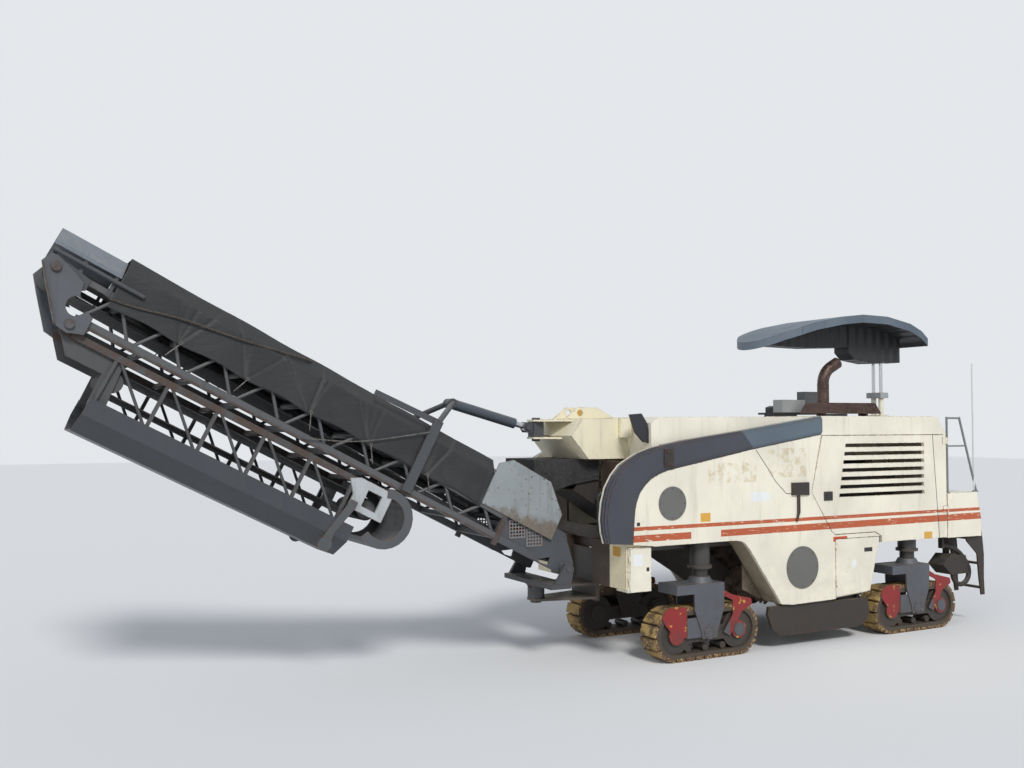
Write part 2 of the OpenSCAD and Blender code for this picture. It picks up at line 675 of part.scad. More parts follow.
module boom_head() color("slategray") on_boom() {
    // bearing plates of the head drum, posts under the covers and the side rails
    both_sides() {
        side(chord_y + 30, chord_y + 39.7) polygon([[fold_u + 20, 200], [fold_u + 20, 300],
            [knee_u - 58, 345], [knee_u + 82, 345], [knee_u + 92, 240], [knee_u + 42, 160],
            [fold_u + 110, 150]]);
        for (u = head_posts) block([u, chord_y + 30, 240], [u + 30, chord_y + 39.7, 455]);
        tube([cover_u - 230, chord_y + 71, 380], [knee_u + 82, chord_y + 71, 382], 18);
        for (u = head_posts) block([u, chord_y + 39, 372], [u + 30, chord_y + 60, 390]);
    }
    rod_y(belt_head[0], belt_head[1], -chord_y, chord_y, drum_end_r - 0.3);
    rod_y(belt_head[0], belt_head[1], -chord_y - 31, chord_y + 31, 34);
}

module fold_arms() color("dimgray") on_boom() both_sides() {
    // outer cheeks from the head down to the pins of the folding section
    difference() {
        side(chord_y + 40, chord_y + 58) polygon([[fold_u + 60, 250], [knee_u - 58, 330],
            [knee_u + 32, 354], [knee_u + 82, 348], [nose_u, 250], [knee_u + 22, 120],
            [fold_u + 110, fold_w - 55],
            [fold_u - 10, fold_w - 75], [fold_u - 138, fold_w - 27], [fold_u - 138, 20],
            [fold_u - 60, 60], [fold_u + 40, 150]]);
        side(chord_y + 39, chord_y + 59) translate([fold_u + 20, 50]) circle(r = 85);
    }
    block([fold_u - 130, chord_y + 30, -75], [fold_u - 70, chord_y + 40, -5]);
    // turned flange along the front edge
    side(chord_y + 58, chord_y + 85) polygon([[nose_u, 250], [knee_u + 22, 120],
        [fold_u + 110, fold_w - 55], [fold_u + 98, fold_w - 46], [knee_u + 10, 128],
        [nose_u - 13, 250]]);
    // upper and lower pins
    rod_y(knee_u, knee_w, chord_y + 58, chord_y + 82, 42);
    rod_y(fold_u, fold_w, chord_y + 58, chord_y + 80, 40);
    rod_y(fold_u, fold_w, chord_y - 66, chord_y + 58, 28);
}

module cover_arch(u0, u1, half, h0, top, t) {
    // bent sheet over the belt: upright sides, sloped shoulders and a flat crown
    cross(u0, u1) difference() {
        polygon([[-half, h0], [-half, top - 150], [-250, top], [250, top], [half, top - 150],
            [half, h0]]);
        polygon([[t - half, h0 - 1], [t - half, top - 150 - t / 3], [t / 3 - 250, top - t],
            [250 - t / 3, top - t], [half - t, top - 150 - t / 3], [half - t, h0 - 1]]);
    }
}

module boom_cover() color("slategray") on_boom() {
    cover_mid = cover_u + 310;
    cover_arch(cover_u, cover_mid, 450, 430, cover_w - 60, 10);
    cover_arch(cover_mid + 0.3, nose_u - 15, 450, 430, cover_w - 60, 10);
}

module boom_hoops() color("silver") on_boom()
    // hoops that carry the cloth
    for (i = [0:4]) let (u = 1300 + i * (cover_u - 230 - 1300) / 4)
        cover_arch(u, u + 30, 435.7, chord_top(u + 30), cover_w - 18, 24);

module boom_tarp() color("black") on_boom() cross(1190, cover_u - 0.3) {
    // cloth over the hoops, as the five flat strips of one bent sheet
    half = 450;
    t = 14;
    shoulder = [[half - 200, cover_w], [half - 200, cover_w - t], [half - t, cover_w - 150],
        [half, cover_w - 150]];
    polygon([[-shoulder[0][0] + 0.3, cover_w], [shoulder[0][0] - 0.3, cover_w],
        [shoulder[0][0] - 0.3, cover_w - t], [-shoulder[0][0] + 0.3, cover_w - t]]);
    for (m = [0, 1]) mirror([m, 0]) {
        polygon(shoulder);
        polygon([[half - t, 150], [half, 150], [half, cover_w - 150.3], [half - t, cover_w - 150.3]]);
    }
}

module hopper() color("silver") on_boom() {
    // open-topped feed hopper over the belt's lower end
    both_sides() {
        side(chord_y + 32, chord_y + 40) polygon([[285, 191], [285, 474], [558, 720], [1049, 730],
            [1185, 629], [1185, 191]]);
        for (u = [300, 770]) block([u, chord_y, 210], [u + 60, chord_y + 33, 270]);
    }
}

module gantry() color("slategray") {
    // A-frame that the lift cylinder pulls on
    a = [(apex[0] - luff_x) * boom_cos + (apex[1] - luff_z) * boom_sin,
        (apex[1] - luff_z) * boom_cos - (apex[0] - luff_x) * boom_sin];
    on_boom() {
        both_sides() {
            side(chord_y + 60, chord_y + 80) polygon([[1930, -60], [1930, 700], [2030, 700],
                [2030, -60]]);
            block([1920, chord_y + 30, -60], [2040, chord_y + 60, 0]);
            tube([1980, chord_y + 70, 670], [a[0], 62, a[1]], 28);
            // flat stay that runs up along the cloth's shoulder
            side(chord_y + 56, chord_y + 66) polygon([[1940, 650], [1940, 712], [2690, 668], [2690, 610]]);
        }
        rod_y(a[0], a[1], -70, -38, 50);
        rod_y(a[0], a[1], 38, 70, 50);
    }
}

module lift_barrel() color("slategray") {
    // in the cylinder's own frame: X from the pin on the machine to the apex
    translate([lift_pin[0], 0, lift_pin[1]]) rotate([0, -lift_tilt, 0]) {
        difference() {
            translate([150, 0, 0]) rotate([0, 90, 0]) cylinder(r = 55, h = lift_len - 200);
            translate([149, 0, 0]) rotate([0, 90, 0]) cylinder(r = 30.05, h = lift_len - 250);
        }
        rod_y(lift_len, 0, -37.7, 37.7, 48);
        block([lift_len - 60, -30, -40], [lift_len, 30, 40]);
    }
}

module lift_rod() color("silver")
    translate([lift_pin[0], 0, lift_pin[1]]) rotate([0, -lift_tilt, 0]) {
        translate([40, 0, 0]) rotate([0, 90, 0]) cylinder(r = 30, h = lift_len - 320);
        rod_y(0, 0, -30, 30, 44);
    }

module loop_belt(from, to, r, t) {
    // endless belt around two drums
    l = norm(to - from);
    translate([from[0], 0, from[1]]) rotate([0, -atan2(to[1] - from[1], to[0] - from[0]), 0])
        side(-belt_w / 2, belt_w / 2) difference() {
            loop_outline(l, r + t);
            loop_outline(l, r);
        }
}
module loop_outline(l, r) {
    translate([0, -r]) square([l, 2 * r]);
    for (u = [0, l]) translate([u, 0]) circle(r = r);
}

module boom_belt() color("black") on_boom() loop_belt(belt_tail, belt_head, drum_end_r, 12);

// the folding section, drawn as it lies when folded back under the conveyor
tip_u = fold_u - 60;
tip_free = tip_u - tip_len;
tip_inner = fold_u - 430;
tip_belt_w = fold_w - 260;
tip_near = fold_w - 30;
tip_far = fold_w - 470;

module tip_frame() color("gray") on_boom() {
    bays = 5;
    step = (tip_inner - tip_free - 300) / bays;
    both_sides() {
        block([tip_free + 100, chord_y - 36, tip_near - 60], [tip_u, chord_y, tip_near]);
        block([tip_free + 100, chord_y - 36, tip_far - 50], [tip_inner, chord_y, tip_far]);
        for (i = [0:bays]) let (u = tip_free + 260 + step * i) {
            block([u - 16, chord_y - 34, tip_far - 1], [u + 16, chord_y - 2, tip_near - 59]);
            block([u - 15, chord_y - 1, tip_far - 48], [u + 15, chord_y + 23.7, tip_far - 2]);
        }
        for (i = [0:bays - 1]) let (u = tip_free + 260 + step * i)
            tube([u + 10, chord_y - 18, tip_far - 20], [u + step - 30, chord_y - 18, tip_near - 40],
                14);
        // root plates around the folding pins
        side(chord_y - 60, chord_y - 36) difference() {
            polygon([[fold_u - 45, fold_w + 30], [fold_u - 20, fold_w + 50], [fold_u + 20, fold_w + 50],
                [fold_u + 50, fold_w + 20], [fold_u + 50, fold_w - 50], [fold_u - 100, fold_w - 235],
                [tip_inner + 10, fold_w - 235], [tip_inner, tip_far - 30], [tip_inner - 150, tip_far - 30],
                [tip_inner - 110, fold_w - 70], [fold_u - 130, fold_w - 30]]);
            translate([fold_u, fold_w]) circle(r = 28.05);
        }
    }
    for (i = [0:bays]) let (u = min(tip_free + 240 + step * i, tip_inner - 158))
        block([u, 36.3 - chord_y, tip_near - 50], [u + 40, chord_y - 36.3, tip_near - 10]);
    // drums of the folding section's belt
    rod_y(tip_inner - drum_end_r - 12, tip_belt_w, 60.3 - chord_y, chord_y - 60.3, drum_end_r - 0.3);
    rod_y(tip_free, tip_belt_w, -belt_w / 2, belt_w / 2, drum_end_r - 0.3);
    rod_y(tip_free, tip_belt_w, -chord_y, chord_y, 36);
}

module tip_cover() color("dimgray") on_boom() {
    w1 = -cover_w - 200;
    cross(tip_free + 80, tip_inner) difference() {
        polygon([[-434, tip_far + 10], [-434, w1 + 150], [-250, w1], [250, w1], [434, w1 + 150],
            [434, tip_far + 10]]);
        polygon([[-424, tip_far + 11], [-424, w1 + 153], [-247, w1 + 10], [247, w1 + 10],
            [424, w1 + 153], [424, tip_far + 11]]);
    }
}

module tip_belt() color("black") on_boom()
    loop_belt([tip_free, tip_belt_w], [tip_inner - drum_end_r - 12, tip_belt_w], drum_end_r, 12);

module tip_head() color("gainsboro") on_boom() {
    // motor frames and the round discharge hood at the free end
    hood = [tip_free - 168, fold_w - 268];
    hood_r = 287;
    both_sides() {
        side(chord_y + 0.3, chord_y + 25) difference() {
            union() {
                translate([tip_free - 148, fold_w - 320]) square([370, 300]);
                polygon([[tip_free + 220, fold_w - 22], [tip_free + 316, fold_w - 68],
                    [tip_free + 220, fold_w - 195]]);
            }
            translate([tip_free - 53, fold_w - 258]) square([155, 163]);
        }
        side(chord_y + 14, chord_y + 30) polygon(concat(arc_points(hood[0], hood[1], hood_r, 70, 300, 16),
            arc_points(hood[0], hood[1], 200, 300, 70, 16)));
        // idle pulley under the section, on a plate that is spaced off the motor frame
        block([tip_free + 155, chord_y + 24, fold_w - 300], [tip_free + 215, chord_y + 40,
            fold_w - 250]);
        side(chord_y + 34.4, chord_y + 46) polygon([[tip_free + 150, fold_w - 243],
            [tip_free + 222, fold_w - 243], [tip_free + 322, fold_w - 693],
            [tip_free + 272, fold_w - 783], [tip_free + 222, fold_w - 733],
            [tip_free + 232, fold_w - 593], [tip_free + 150, fold_w - 300]]);
        rod_y(tip_free + 272, fold_w - 718, chord_y + 45, chord_y + 62, 65);
    }
    side(-chord_y - 15, chord_y + 15) polygon(concat(arc_points(hood[0], hood[1], hood_r, 70, 300, 16),
        arc_points(hood[0], hood[1], hood_r - 8, 300, 70, 16)));
}

// ---- doors and canopy ----

module engine_door() color("whitesmoke") {
    difference() {
        side(wall_in + 0.5, half_w) polygon(door_outline);
        // louvres
        for (i = [0:6]) let (z = 1650 + 95 * i, x0 = -1860 - 17 * i)
            side(wall_in - 1, half_w + 1) polygon([[x0, z], [-3270, z], [-3260, z + 42],
                [x0 - 6, z + 42]]);
    }
    // hinge straps and the latch
    for (z = [1400, 2240]) {
        block([-3654, half_w - 2, z + 5], [-3590, half_w + 8, z + 85]);
        translate([-3652, half_w + 12, z + 5]) cylinder(r = 9, h = 80);
    }
    block([-1750, half_w - 2, 1620], [-1620, half_w + 10, 1720]);
}

module store_door() {
    side(wall_in + 6, half_w) polygon([[-1798, 1172], [-2488, 1172], [-2488, 1130], [-2334, 556],
        [-1798, 524]]);
    for (z = [640, 1060]) translate([-1806, half_w + 8, z]) cylinder(r = 8, h = 60);
}
module store_left() color("whitesmoke") store_door();
module store_right() color("whitesmoke") mirror([0, 1, 0]) store_door();

module box_door() color("whitesmoke") {
    block([776, half_w - 34.7, 782], [1034, half_w - 4, 1222]);
    for (z = [860, 1100]) translate([1040, half_w - 4, z]) cylinder(r = 7, h = 60);
}

// hoses that leave the bulkhead and enter it again lower down
module nose_hoses() color("black")
    for (h = [[385, 1330, 1760, 60, 17], [430, 1360, 1700, 80, 14], [475, 1330, 1640, 62, 20],
            [530, 1380, 1740, 76, 15], [585, 1340, 1600, 60, 17]])
        let (y = h[0], low = h[1], high = h[2], r = h[3], thick = h[4], front = 1000.3) {
            bend(front, y, high - r, r, 0, 90, thick);
            translate([front + r, y, low + r]) cylinder(r = thick, h = high - low - 2 * r);
            bend(front, y, low + r, r, -90, 0, thick);
        }

module rear_block() color("dimgray") {
    // valve block under the rear body on a hanger below the beam, with its large hose
    side(560, 800) polygon([[-3900, 613], [-3760, 740], [-3900, 862], [-4165, 840], [-4212, 613]]);
    block([-4060, 600, 840], [-3980, 640, 1149.7]);
    y = 760;
    big = [-3760, 420, 560];
    small_r = 150;
    end = [big[0] + (big[2] - small_r) * cos(150), big[1] + (big[2] - small_r) * sin(150)];
    bend(big[0], y, big[1], big[2], 90, 150, 30);
    bend(end[0], y, end[1], small_r, 150, 360, 30);
    // clamp that holds the hose's upper end
    block([-3790, 600, 1110], [-3740, 790, 1149.7]);
    block([-3785, 730, 945], [-3745, 790, 1120]);
}

module catches() color("dimgray") {
    // latch on the front band, and a hinge bracket with its hanging hook beside the engine's door
    block([505, trim_y + 0.3, 2040], [625, trim_y + 14, 2232]);
    for (z = [2060, 2190]) block([530, trim_y + 13, z], [600, trim_y + 26, z + 26]);
    block([-1380, half_w + 0.3, 1697], [-1130, half_w + 26, 1836]);
    rod_y(-1150, 1770, half_w + 25, half_w + 40, 22);
    block([-1248, half_w + 8, 1500], [-1210, half_w + 20, 1700]);
    side(half_w + 8, half_w + 20) polygon([[-1248, 1505], [-1205, 1400], [-1190, 1405], [-1210, 1505]]);
}

module rear_mirror() color("black") {
    // driver's mirror on the hood's front edge, seen on edge
    side(775, 800) polygon([[940, 2588], [790, 2599], [714, 2489], [700.3, 2400], [700.3, 2290],
        [764, 2300], [872, 2400]]);
}

// line of the roof's top from its round front end to its rear edge
roof_top = [[-1170, 3455], [-1400, 3560], [-1670, 3645], [-1840, 3690], [-2250, 3770], [-2580, 3808],
    [-2990, 3803], [-3390, 3733], [-3590, 3650], [-3700, 3560]];
roof_mid = (post_ys[0] + post_ys[1]) / 2;

module canopy() color("lightsteelblue") {
    // arched shell with a round front end
    intersection() {
        side(roof_mid - roof_half_w - 1, roof_mid + roof_half_w + 1) polygon(concat(roof_top,
            [for (i = [9:-1:0]) [roof_top[i][0], roof_top[i][1] - roof_t]]));
        translate([0, 0, 3200]) linear_extrude(800) {
            translate([-1172 - roof_half_w, roof_mid]) circle(r = roof_half_w);
            translate([-3699, roof_mid - roof_half_w]) square([2527 - roof_half_w, 2 * roof_half_w]);
        }
    }
    // spine under the shell, and the head that the posts' inner tubes carry
    side(roof_mid - 115, roof_mid + 115) polygon([[-1300, 3420], [-1300, 3480], [-1670, 3560],
        [-1840, 3605], [-2250, 3685], [-2580, 3720], [-2700, 3720], [-2700, 3440], [-2060, 3410]]);
    side(roof_mid - 120, roof_mid + 120) polygon([[-2700, 3380], [-2700, 3720], [-2990, 3715],
        [-3390, 3645], [-3600, 3560], [-3600, 3270], [-3100, 3250], [-2800, 3290]]);
    for (y = post_ys) translate([post_x, y, box_z - 425]) cylinder(r = post_r, h = 3300 - box_z + 425);
}

// ---- the whole machine ----

module placed() { translate([-mid_x, 0, 0]) children(); }

placed() frame();
placed() side_walls();
placed() stores();
placed() small_box();
placed() drum_housing();
placed() nose();
placed() lower_bracket();
placed() front_hood();
placed() side_trim();
placed() round_covers();
placed() engine_hood();
placed() engine();
placed() platform();
placed() controls();
placed() pickup_belt();
placed() pickup_hood();
placed() top_bracket();
placed() skids();
placed() exhaust();
placed() handrails();
placed() ladder();
placed() posts();
placed() track(0, track_y);  // track_fl
placed() track(0, -track_y);  // track_fr
placed() track(axle_rear, track_y);  // track_rl
placed() track(axle_rear, -track_y);  // track_rr
placed() bogie(0, track_y);  // bogie_fl
placed() bogie(0, -track_y);  // bogie_fr
placed() bogie(axle_rear, track_y);  // bogie_rl
placed() bogie(axle_rear, -track_y);  // bogie_rr
placed() drum();
placed() slew_cradle();
placed() slew_head();
placed() boom_tail();
placed() boom_frame();
placed() boom_head();
placed() hopper();
placed() gantry();
placed() boom_cover();
placed() boom_hoops();
placed() boom_tarp();
placed() fold_arms();
placed() boom_belt();
placed() tip_frame();
placed() tip_cover();
placed() tip_belt();
placed() tip_head();
placed() lift_barrel();
placed() lift_rod();
placed() tail_grilles();
placed() nose_hoses();
placed() rear_block();
placed() catches();
placed() rear_mirror();
placed() engine_door();
placed() store_left();
placed() store_right();
placed() box_door();
placed() canopy();
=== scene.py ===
import json
import math

import bpy
import numpy as np
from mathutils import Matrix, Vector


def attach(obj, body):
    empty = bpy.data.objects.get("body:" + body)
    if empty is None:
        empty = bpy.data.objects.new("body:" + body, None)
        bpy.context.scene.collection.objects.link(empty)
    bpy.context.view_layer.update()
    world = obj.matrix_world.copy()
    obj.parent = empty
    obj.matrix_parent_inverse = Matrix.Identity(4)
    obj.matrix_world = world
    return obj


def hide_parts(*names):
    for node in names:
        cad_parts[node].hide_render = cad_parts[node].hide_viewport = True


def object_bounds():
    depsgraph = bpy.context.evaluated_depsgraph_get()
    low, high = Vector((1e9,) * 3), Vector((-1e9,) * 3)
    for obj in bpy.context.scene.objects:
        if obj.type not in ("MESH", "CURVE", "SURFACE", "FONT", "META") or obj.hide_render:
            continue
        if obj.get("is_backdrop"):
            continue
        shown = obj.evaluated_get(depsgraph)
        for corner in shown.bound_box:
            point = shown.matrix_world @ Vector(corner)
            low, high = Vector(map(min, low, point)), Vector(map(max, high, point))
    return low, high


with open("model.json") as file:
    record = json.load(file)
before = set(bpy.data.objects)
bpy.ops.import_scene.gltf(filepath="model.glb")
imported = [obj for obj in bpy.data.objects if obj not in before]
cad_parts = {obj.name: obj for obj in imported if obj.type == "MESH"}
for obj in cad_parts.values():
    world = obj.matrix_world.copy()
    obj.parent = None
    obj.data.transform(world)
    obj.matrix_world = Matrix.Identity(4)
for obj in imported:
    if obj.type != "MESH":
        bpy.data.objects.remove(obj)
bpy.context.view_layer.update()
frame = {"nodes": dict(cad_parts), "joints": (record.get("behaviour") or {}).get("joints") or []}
nodes = frame["nodes"]


# The camera, at head height beside the conveyor's free end, looking back along the machine's left
# side. Its lens and place are those from which the body's straight lines fall as in the picture.
camera_place = (6.129, 9.783, 2.5)
camera_heading = math.radians(241.6)
camera_pitch = math.radians(2.12)
camera_data = bpy.data.cameras.new("camera")
camera_data.sensor_width = 36.0
camera_data.lens = 36.98
camera_data.clip_end = 200.0
camera = bpy.data.objects.new("camera", camera_data)
camera.location = camera_place
camera.rotation_euler = (math.pi / 2 + camera_pitch, 0.0, camera_heading - math.pi / 2)
bpy.context.scene.collection.objects.link(camera)
bpy.context.scene.camera = camera
bpy.context.scene.view_settings.view_transform = "Standard"


# A pale floor and a plain, even backdrop, with a wide soft key light from the camera's right and a
# weaker one from its left, so that the panels' colours read as they are.
def add(tree, kind, inputs=None, **properties):
    """Adds a node. Values in inputs that are sockets are linked, and others are set."""
    made = tree.nodes.new(kind)
    for name, value in properties.items():
        setattr(made, name, value)
    for name, value in (inputs or {}).items():
        if isinstance(value, bpy.types.NodeSocket):
            tree.links.new(value, made.inputs[name])
        else:
            made.inputs[name].default_value = value
    return made


def new_material(name):
    """An empty node material and its output node."""
    made = bpy.data.materials.new(name)
    made.use_nodes = True
    made.node_tree.nodes.clear()
    return made, add(made.node_tree, "ShaderNodeOutputMaterial")


def new_piece(name, points, faces, smooth=False):
    """A mesh object from an array of points and an array of quads, linked to the scene."""
    mesh = bpy.data.meshes.new(name)
    mesh.from_pydata(np.asarray(points, float).reshape(-1, 3).tolist(), [], np.asarray(faces).tolist())
    mesh.polygons.foreach_set("use_smooth", np.full(len(mesh.polygons), smooth))
    made = bpy.data.objects.new(name, mesh)
    bpy.context.scene.collection.objects.link(made)
    return made


floor_half = 60.0
floor = new_piece("floor", [(-floor_half, -floor_half, 0), (floor_half, -floor_half, 0),
                            (floor_half, floor_half, 0), (-floor_half, floor_half, 0)], [(0, 1, 2, 3)])
floor_material, floor_out = new_material("floor_concrete")
tree = floor_material.node_tree
floor_shader = add(tree, "ShaderNodeBsdfPrincipled", {"Base Color": (0.78, 0.78, 0.77, 1), "Roughness": 0.9})
tree.links.new(floor_shader.outputs[0], floor_out.inputs[0])
floor.data.materials.append(floor_material)
floor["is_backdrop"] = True

world = bpy.data.worlds.new("studio")
bpy.context.scene.world = world
world.use_nodes = True
tree = world.node_tree
tree.nodes.clear()
# rays that show the surroundings meet the backdrop, and rays that only gather light a bluer sky
path = add(tree, "ShaderNodeLightPath")
seen = add(tree, "ShaderNodeMath", {0: path.outputs["Is Camera Ray"], 1: path.outputs["Is Glossy Ray"]},
           operation="MAXIMUM")
seen = add(tree, "ShaderNodeMath", {0: seen.outputs[0], 1: path.outputs["Is Transmission Ray"]},
           operation="MAXIMUM")
ambient = add(tree, "ShaderNodeBackground", {"Color": (0.80, 0.87, 1.0, 1), "Strength": 0.42})
backdrop = add(tree, "ShaderNodeBackground", {"Color": (0.86, 0.89, 0.92, 1), "Strength": 0.9})
sky = add(tree, "ShaderNodeMixShader", {0: seen.outputs[0], 1: ambient.outputs[0], 2: backdrop.outputs[0]})
world_out = add(tree, "ShaderNodeOutputWorld")
tree.links.new(sky.outputs[0], world_out.inputs[0])


def sun(name, strength, spread, azimuth, elevation):
    """A distant lamp seen under a wide angle, from an azimuth (0 is +X) and an elevation in degrees."""
    lamp = bpy.data.lights.new(name, "SUN")
    lamp.energy = strength
    lamp.angle = math.radians(spread)
    made = bpy.data.objects.new(name, lamp)
    made.rotation_euler = (0, math.radians(90 - elevation), math.radians(azimuth))
    bpy.context.scene.collection.objects.link(made)


sun("key_light", strength=2.1, spread=14, azimuth=78, elevation=40)
sun("fill_light", strength=0.5, spread=40, azimuth=20, elevation=25)


# Paint on steel that has worked outdoors for years: a shared group that gives the colour, roughness
# and relief of faded paint with dust, run-down streaks, splashes near the ground and chipped edges.
def math_of(tree, operation, *values, clamp=False):
    """One Math node over sockets or numbers, as its output socket."""
    made = add(tree, "ShaderNodeMath", dict(enumerate(values)), operation=operation, use_clamp=clamp)
    return made.outputs[0]


def ramp_of(tree, value, low, high, out_low=0.0, out_high=1.0):
    """Maps a value between two limits smoothly onto two others, held at the ends."""
    made = add(tree, "ShaderNodeMapRange", {"Value": value, "From Min": low, "From Max": high,
                                           "To Min": out_low, "To Max": out_high},
               interpolation_type="SMOOTHSTEP")
    return made.outputs[0]


def mix_of(tree, factor, a, b):
    """Mixes two colours by a factor."""
    return add(tree, "ShaderNodeMix", {0: factor, 6: a, 7: b}, data_type="RGBA").outputs[2]


def place_of(tree):
    """The Object coordinates of the point that is seen, in metres."""
    return add(tree, "ShaderNodeTexCoord").outputs["Object"]


def noise_of(tree, vector, scale, detail=3.0, rough=0.55):
    """The value of a noise texture at a vector, scale in cells a metre."""
    made = add(tree, "ShaderNodeTexNoise", {"Vector": vector, "Scale": scale, "Detail": detail,
                                           "Roughness": rough})
    return made.outputs["Fac"]


def stretched(tree, vector, x, y, z):
    """A vector with its three parts multiplied."""
    made = add(tree, "ShaderNodeVectorMath", {0: vector, 1: (x, y, z)}, operation="MULTIPLY")
    return made.outputs[0]


def new_group(name, inputs, outputs):
    """A node group with named inputs (name, kind, default) and outputs (name, kind)."""
    made = bpy.data.node_groups.new(name, "ShaderNodeTree")
    for label, kind, default in inputs:
        socket = made.interface.new_socket(label, in_out="INPUT", socket_type="NodeSocket" + kind)
        socket.default_value = default
    for label, kind in outputs:
        made.interface.new_socket(label, in_out="OUTPUT", socket_type="NodeSocket" + kind)
    return made, add(made, "NodeGroupInput"), add(made, "NodeGroupOutput")


weather, given, result = new_group(
    "weathered_paint",
    [("Paint", "Color", (0.8, 0.8, 0.8, 1)), ("Rust", "Color", (0.16, 0.07, 0.035, 1)),
     ("Grime", "Color", (0.10, 0.085, 0.065, 1)), ("Chipping", "Float", 0.4), ("Streaks", "Float", 0.4),
     ("Splash", "Float", 0.5), ("Gloss", "Float", 0.45)],
    [("Color", "Color"), ("Roughness", "Float"), ("Height", "Float")])
place = place_of(weather)
parts = add(weather, "ShaderNodeSeparateXYZ", {0: place})
facing = add(weather, "ShaderNodeNewGeometry")
bevel = add(weather, "ShaderNodeBevel", {"Radius": 0.012}, samples=4)
softened = add(weather, "ShaderNodeVectorMath", {0: bevel.outputs[0], 1: facing.outputs["Normal"]},
               operation="DOT_PRODUCT").outputs["Value"]
edge = ramp_of(weather, softened, 0.995, 0.80)
# faded and brightened patches
fade = noise_of(weather, place, 1.7, 4.0)
tone = ramp_of(weather, fade, 0.25, 0.75, 0.90, 1.06)
paint = add(weather, "ShaderNodeVectorMath", {0: given.outputs["Paint"], 1: tone}, operation="MULTIPLY")
# streaks that run down, grime in patches, and dirt thrown up from the ground
streak_place = stretched(weather, place, 9.0, 9.0, 0.9)
streak = ramp_of(weather, noise_of(weather, streak_place, 1.6, 5.0, 0.62), 0.50, 0.78)
streak = math_of(weather, "MULTIPLY", streak, given.outputs["Streaks"])
patch = ramp_of(weather, noise_of(weather, place, 3.1, 6.0, 0.65), 0.50, 0.85)
patch = math_of(weather, "MULTIPLY", patch, math_of(weather, "MULTIPLY", given.outputs["Streaks"], 0.7))
low = ramp_of(weather, parts.outputs["Z"], 1.5, 0.15)
splashed = ramp_of(weather, noise_of(weather, place, 5.0, 6.0, 0.7), 0.30, 0.72)
low = math_of(weather, "MULTIPLY", low, splashed)
low = math_of(weather, "MULTIPLY", low, given.outputs["Splash"])
dirt = math_of(weather, "MAXIMUM", math_of(weather, "MAXIMUM", streak, patch), low, clamp=True)
dirty = mix_of(weather, math_of(weather, "MULTIPLY", dirt, 0.8), paint.outputs[0], given.outputs["Grime"])
# pale dust on what faces up
up = add(weather, "ShaderNodeSeparateXYZ", {0: facing.outputs["Normal"]}).outputs["Z"]
dust = math_of(weather, "MULTIPLY", ramp_of(weather, up, 0.35, 1.0),
               ramp_of(weather, noise_of(weather, place, 6.0, 5.0), 0.35, 0.8, 0.05, 0.40))
dusty = mix_of(weather, dust, dirty, (0.42, 0.38, 0.31, 1))
# chips: specks anywhere, and more of them along the edges
speck = noise_of(weather, place, 26.0, 5.0, 0.7)
wide = noise_of(weather, place, 4.2, 3.0)
limit = math_of(weather, "SUBTRACT", 0.80, math_of(weather, "MULTIPLY", edge, 0.22))
limit = math_of(weather, "SUBTRACT", limit, math_of(weather, "MULTIPLY", wide, 0.10))
limit = math_of(weather, "SUBTRACT", limit, math_of(weather, "MULTIPLY", given.outputs["Chipping"], 0.13))
chip = ramp_of(weather, math_of(weather, "SUBTRACT", speck, limit), 0.0, 0.025)
rust_tone = ramp_of(weather, noise_of(weather, place, 40.0, 4.0), 0.3, 0.7, 0.55, 1.5)
rust = add(weather, "ShaderNodeVectorMath", {0: given.outputs["Rust"], 1: rust_tone}, operation="MULTIPLY")
worn = mix_of(weather, chip, dusty, rust.outputs[0])
weather.links.new(worn, result.inputs["Color"])
rough = math_of(weather, "ADD", given.outputs["Gloss"], math_of(weather, "MULTIPLY", dirt, 0.35))
rough = math_of(weather, "ADD", rough, math_of(weather, "MULTIPLY", chip, 0.35), clamp=True)
weather.links.new(rough, result.inputs["Roughness"])
# shallow dents, with paint missing where it is chipped and dirt standing proud
dents = math_of(weather, "MULTIPLY", noise_of(weather, place, 2.3, 3.0), 0.5)
relief = math_of(weather, "SUBTRACT", dents, math_of(weather, "MULTIPLY", chip, 0.06))
relief = math_of(weather, "ADD", relief, math_of(weather, "MULTIPLY", dirt, 0.03))
weather.links.new(relief, result.inputs["Height"])


def painted(name, paint, chipping=0.4, streaks=0.4, splash=0.5, gloss=0.42, rust=(0.16, 0.07, 0.035),
            grime=(0.10, 0.085, 0.065), marks=None):
    """A painted steel material. marks, if given, changes the paint's colour by place on the object."""
    made, out = new_material(name)
    tree = made.node_tree
    use = add(tree, "ShaderNodeGroup", {
        "Paint": marks(tree, paint) if marks else (*paint, 1), "Rust": (*rust, 1), "Grime": (*grime, 1),
        "Chipping": chipping, "Streaks": streaks, "Splash": splash, "Gloss": gloss}, node_tree=weather)
    bump = add(tree, "ShaderNodeBump", {"Height": use.outputs["Height"], "Strength": 0.5, "Distance": 0.01})
    shader = add(tree, "ShaderNodeBsdfPrincipled", {"Base Color": use.outputs["Color"],
                                                   "Roughness": use.outputs["Roughness"],
                                                   "Normal": bump.outputs[0]})
    tree.links.new(shader.outputs[0], out.inputs[0])
    return made


def dress(material, *names):
    """Gives CAD nodes a material."""
    for name in names:
        mesh = nodes[name].data
        mesh.materials.clear()
        mesh.materials.append(material)


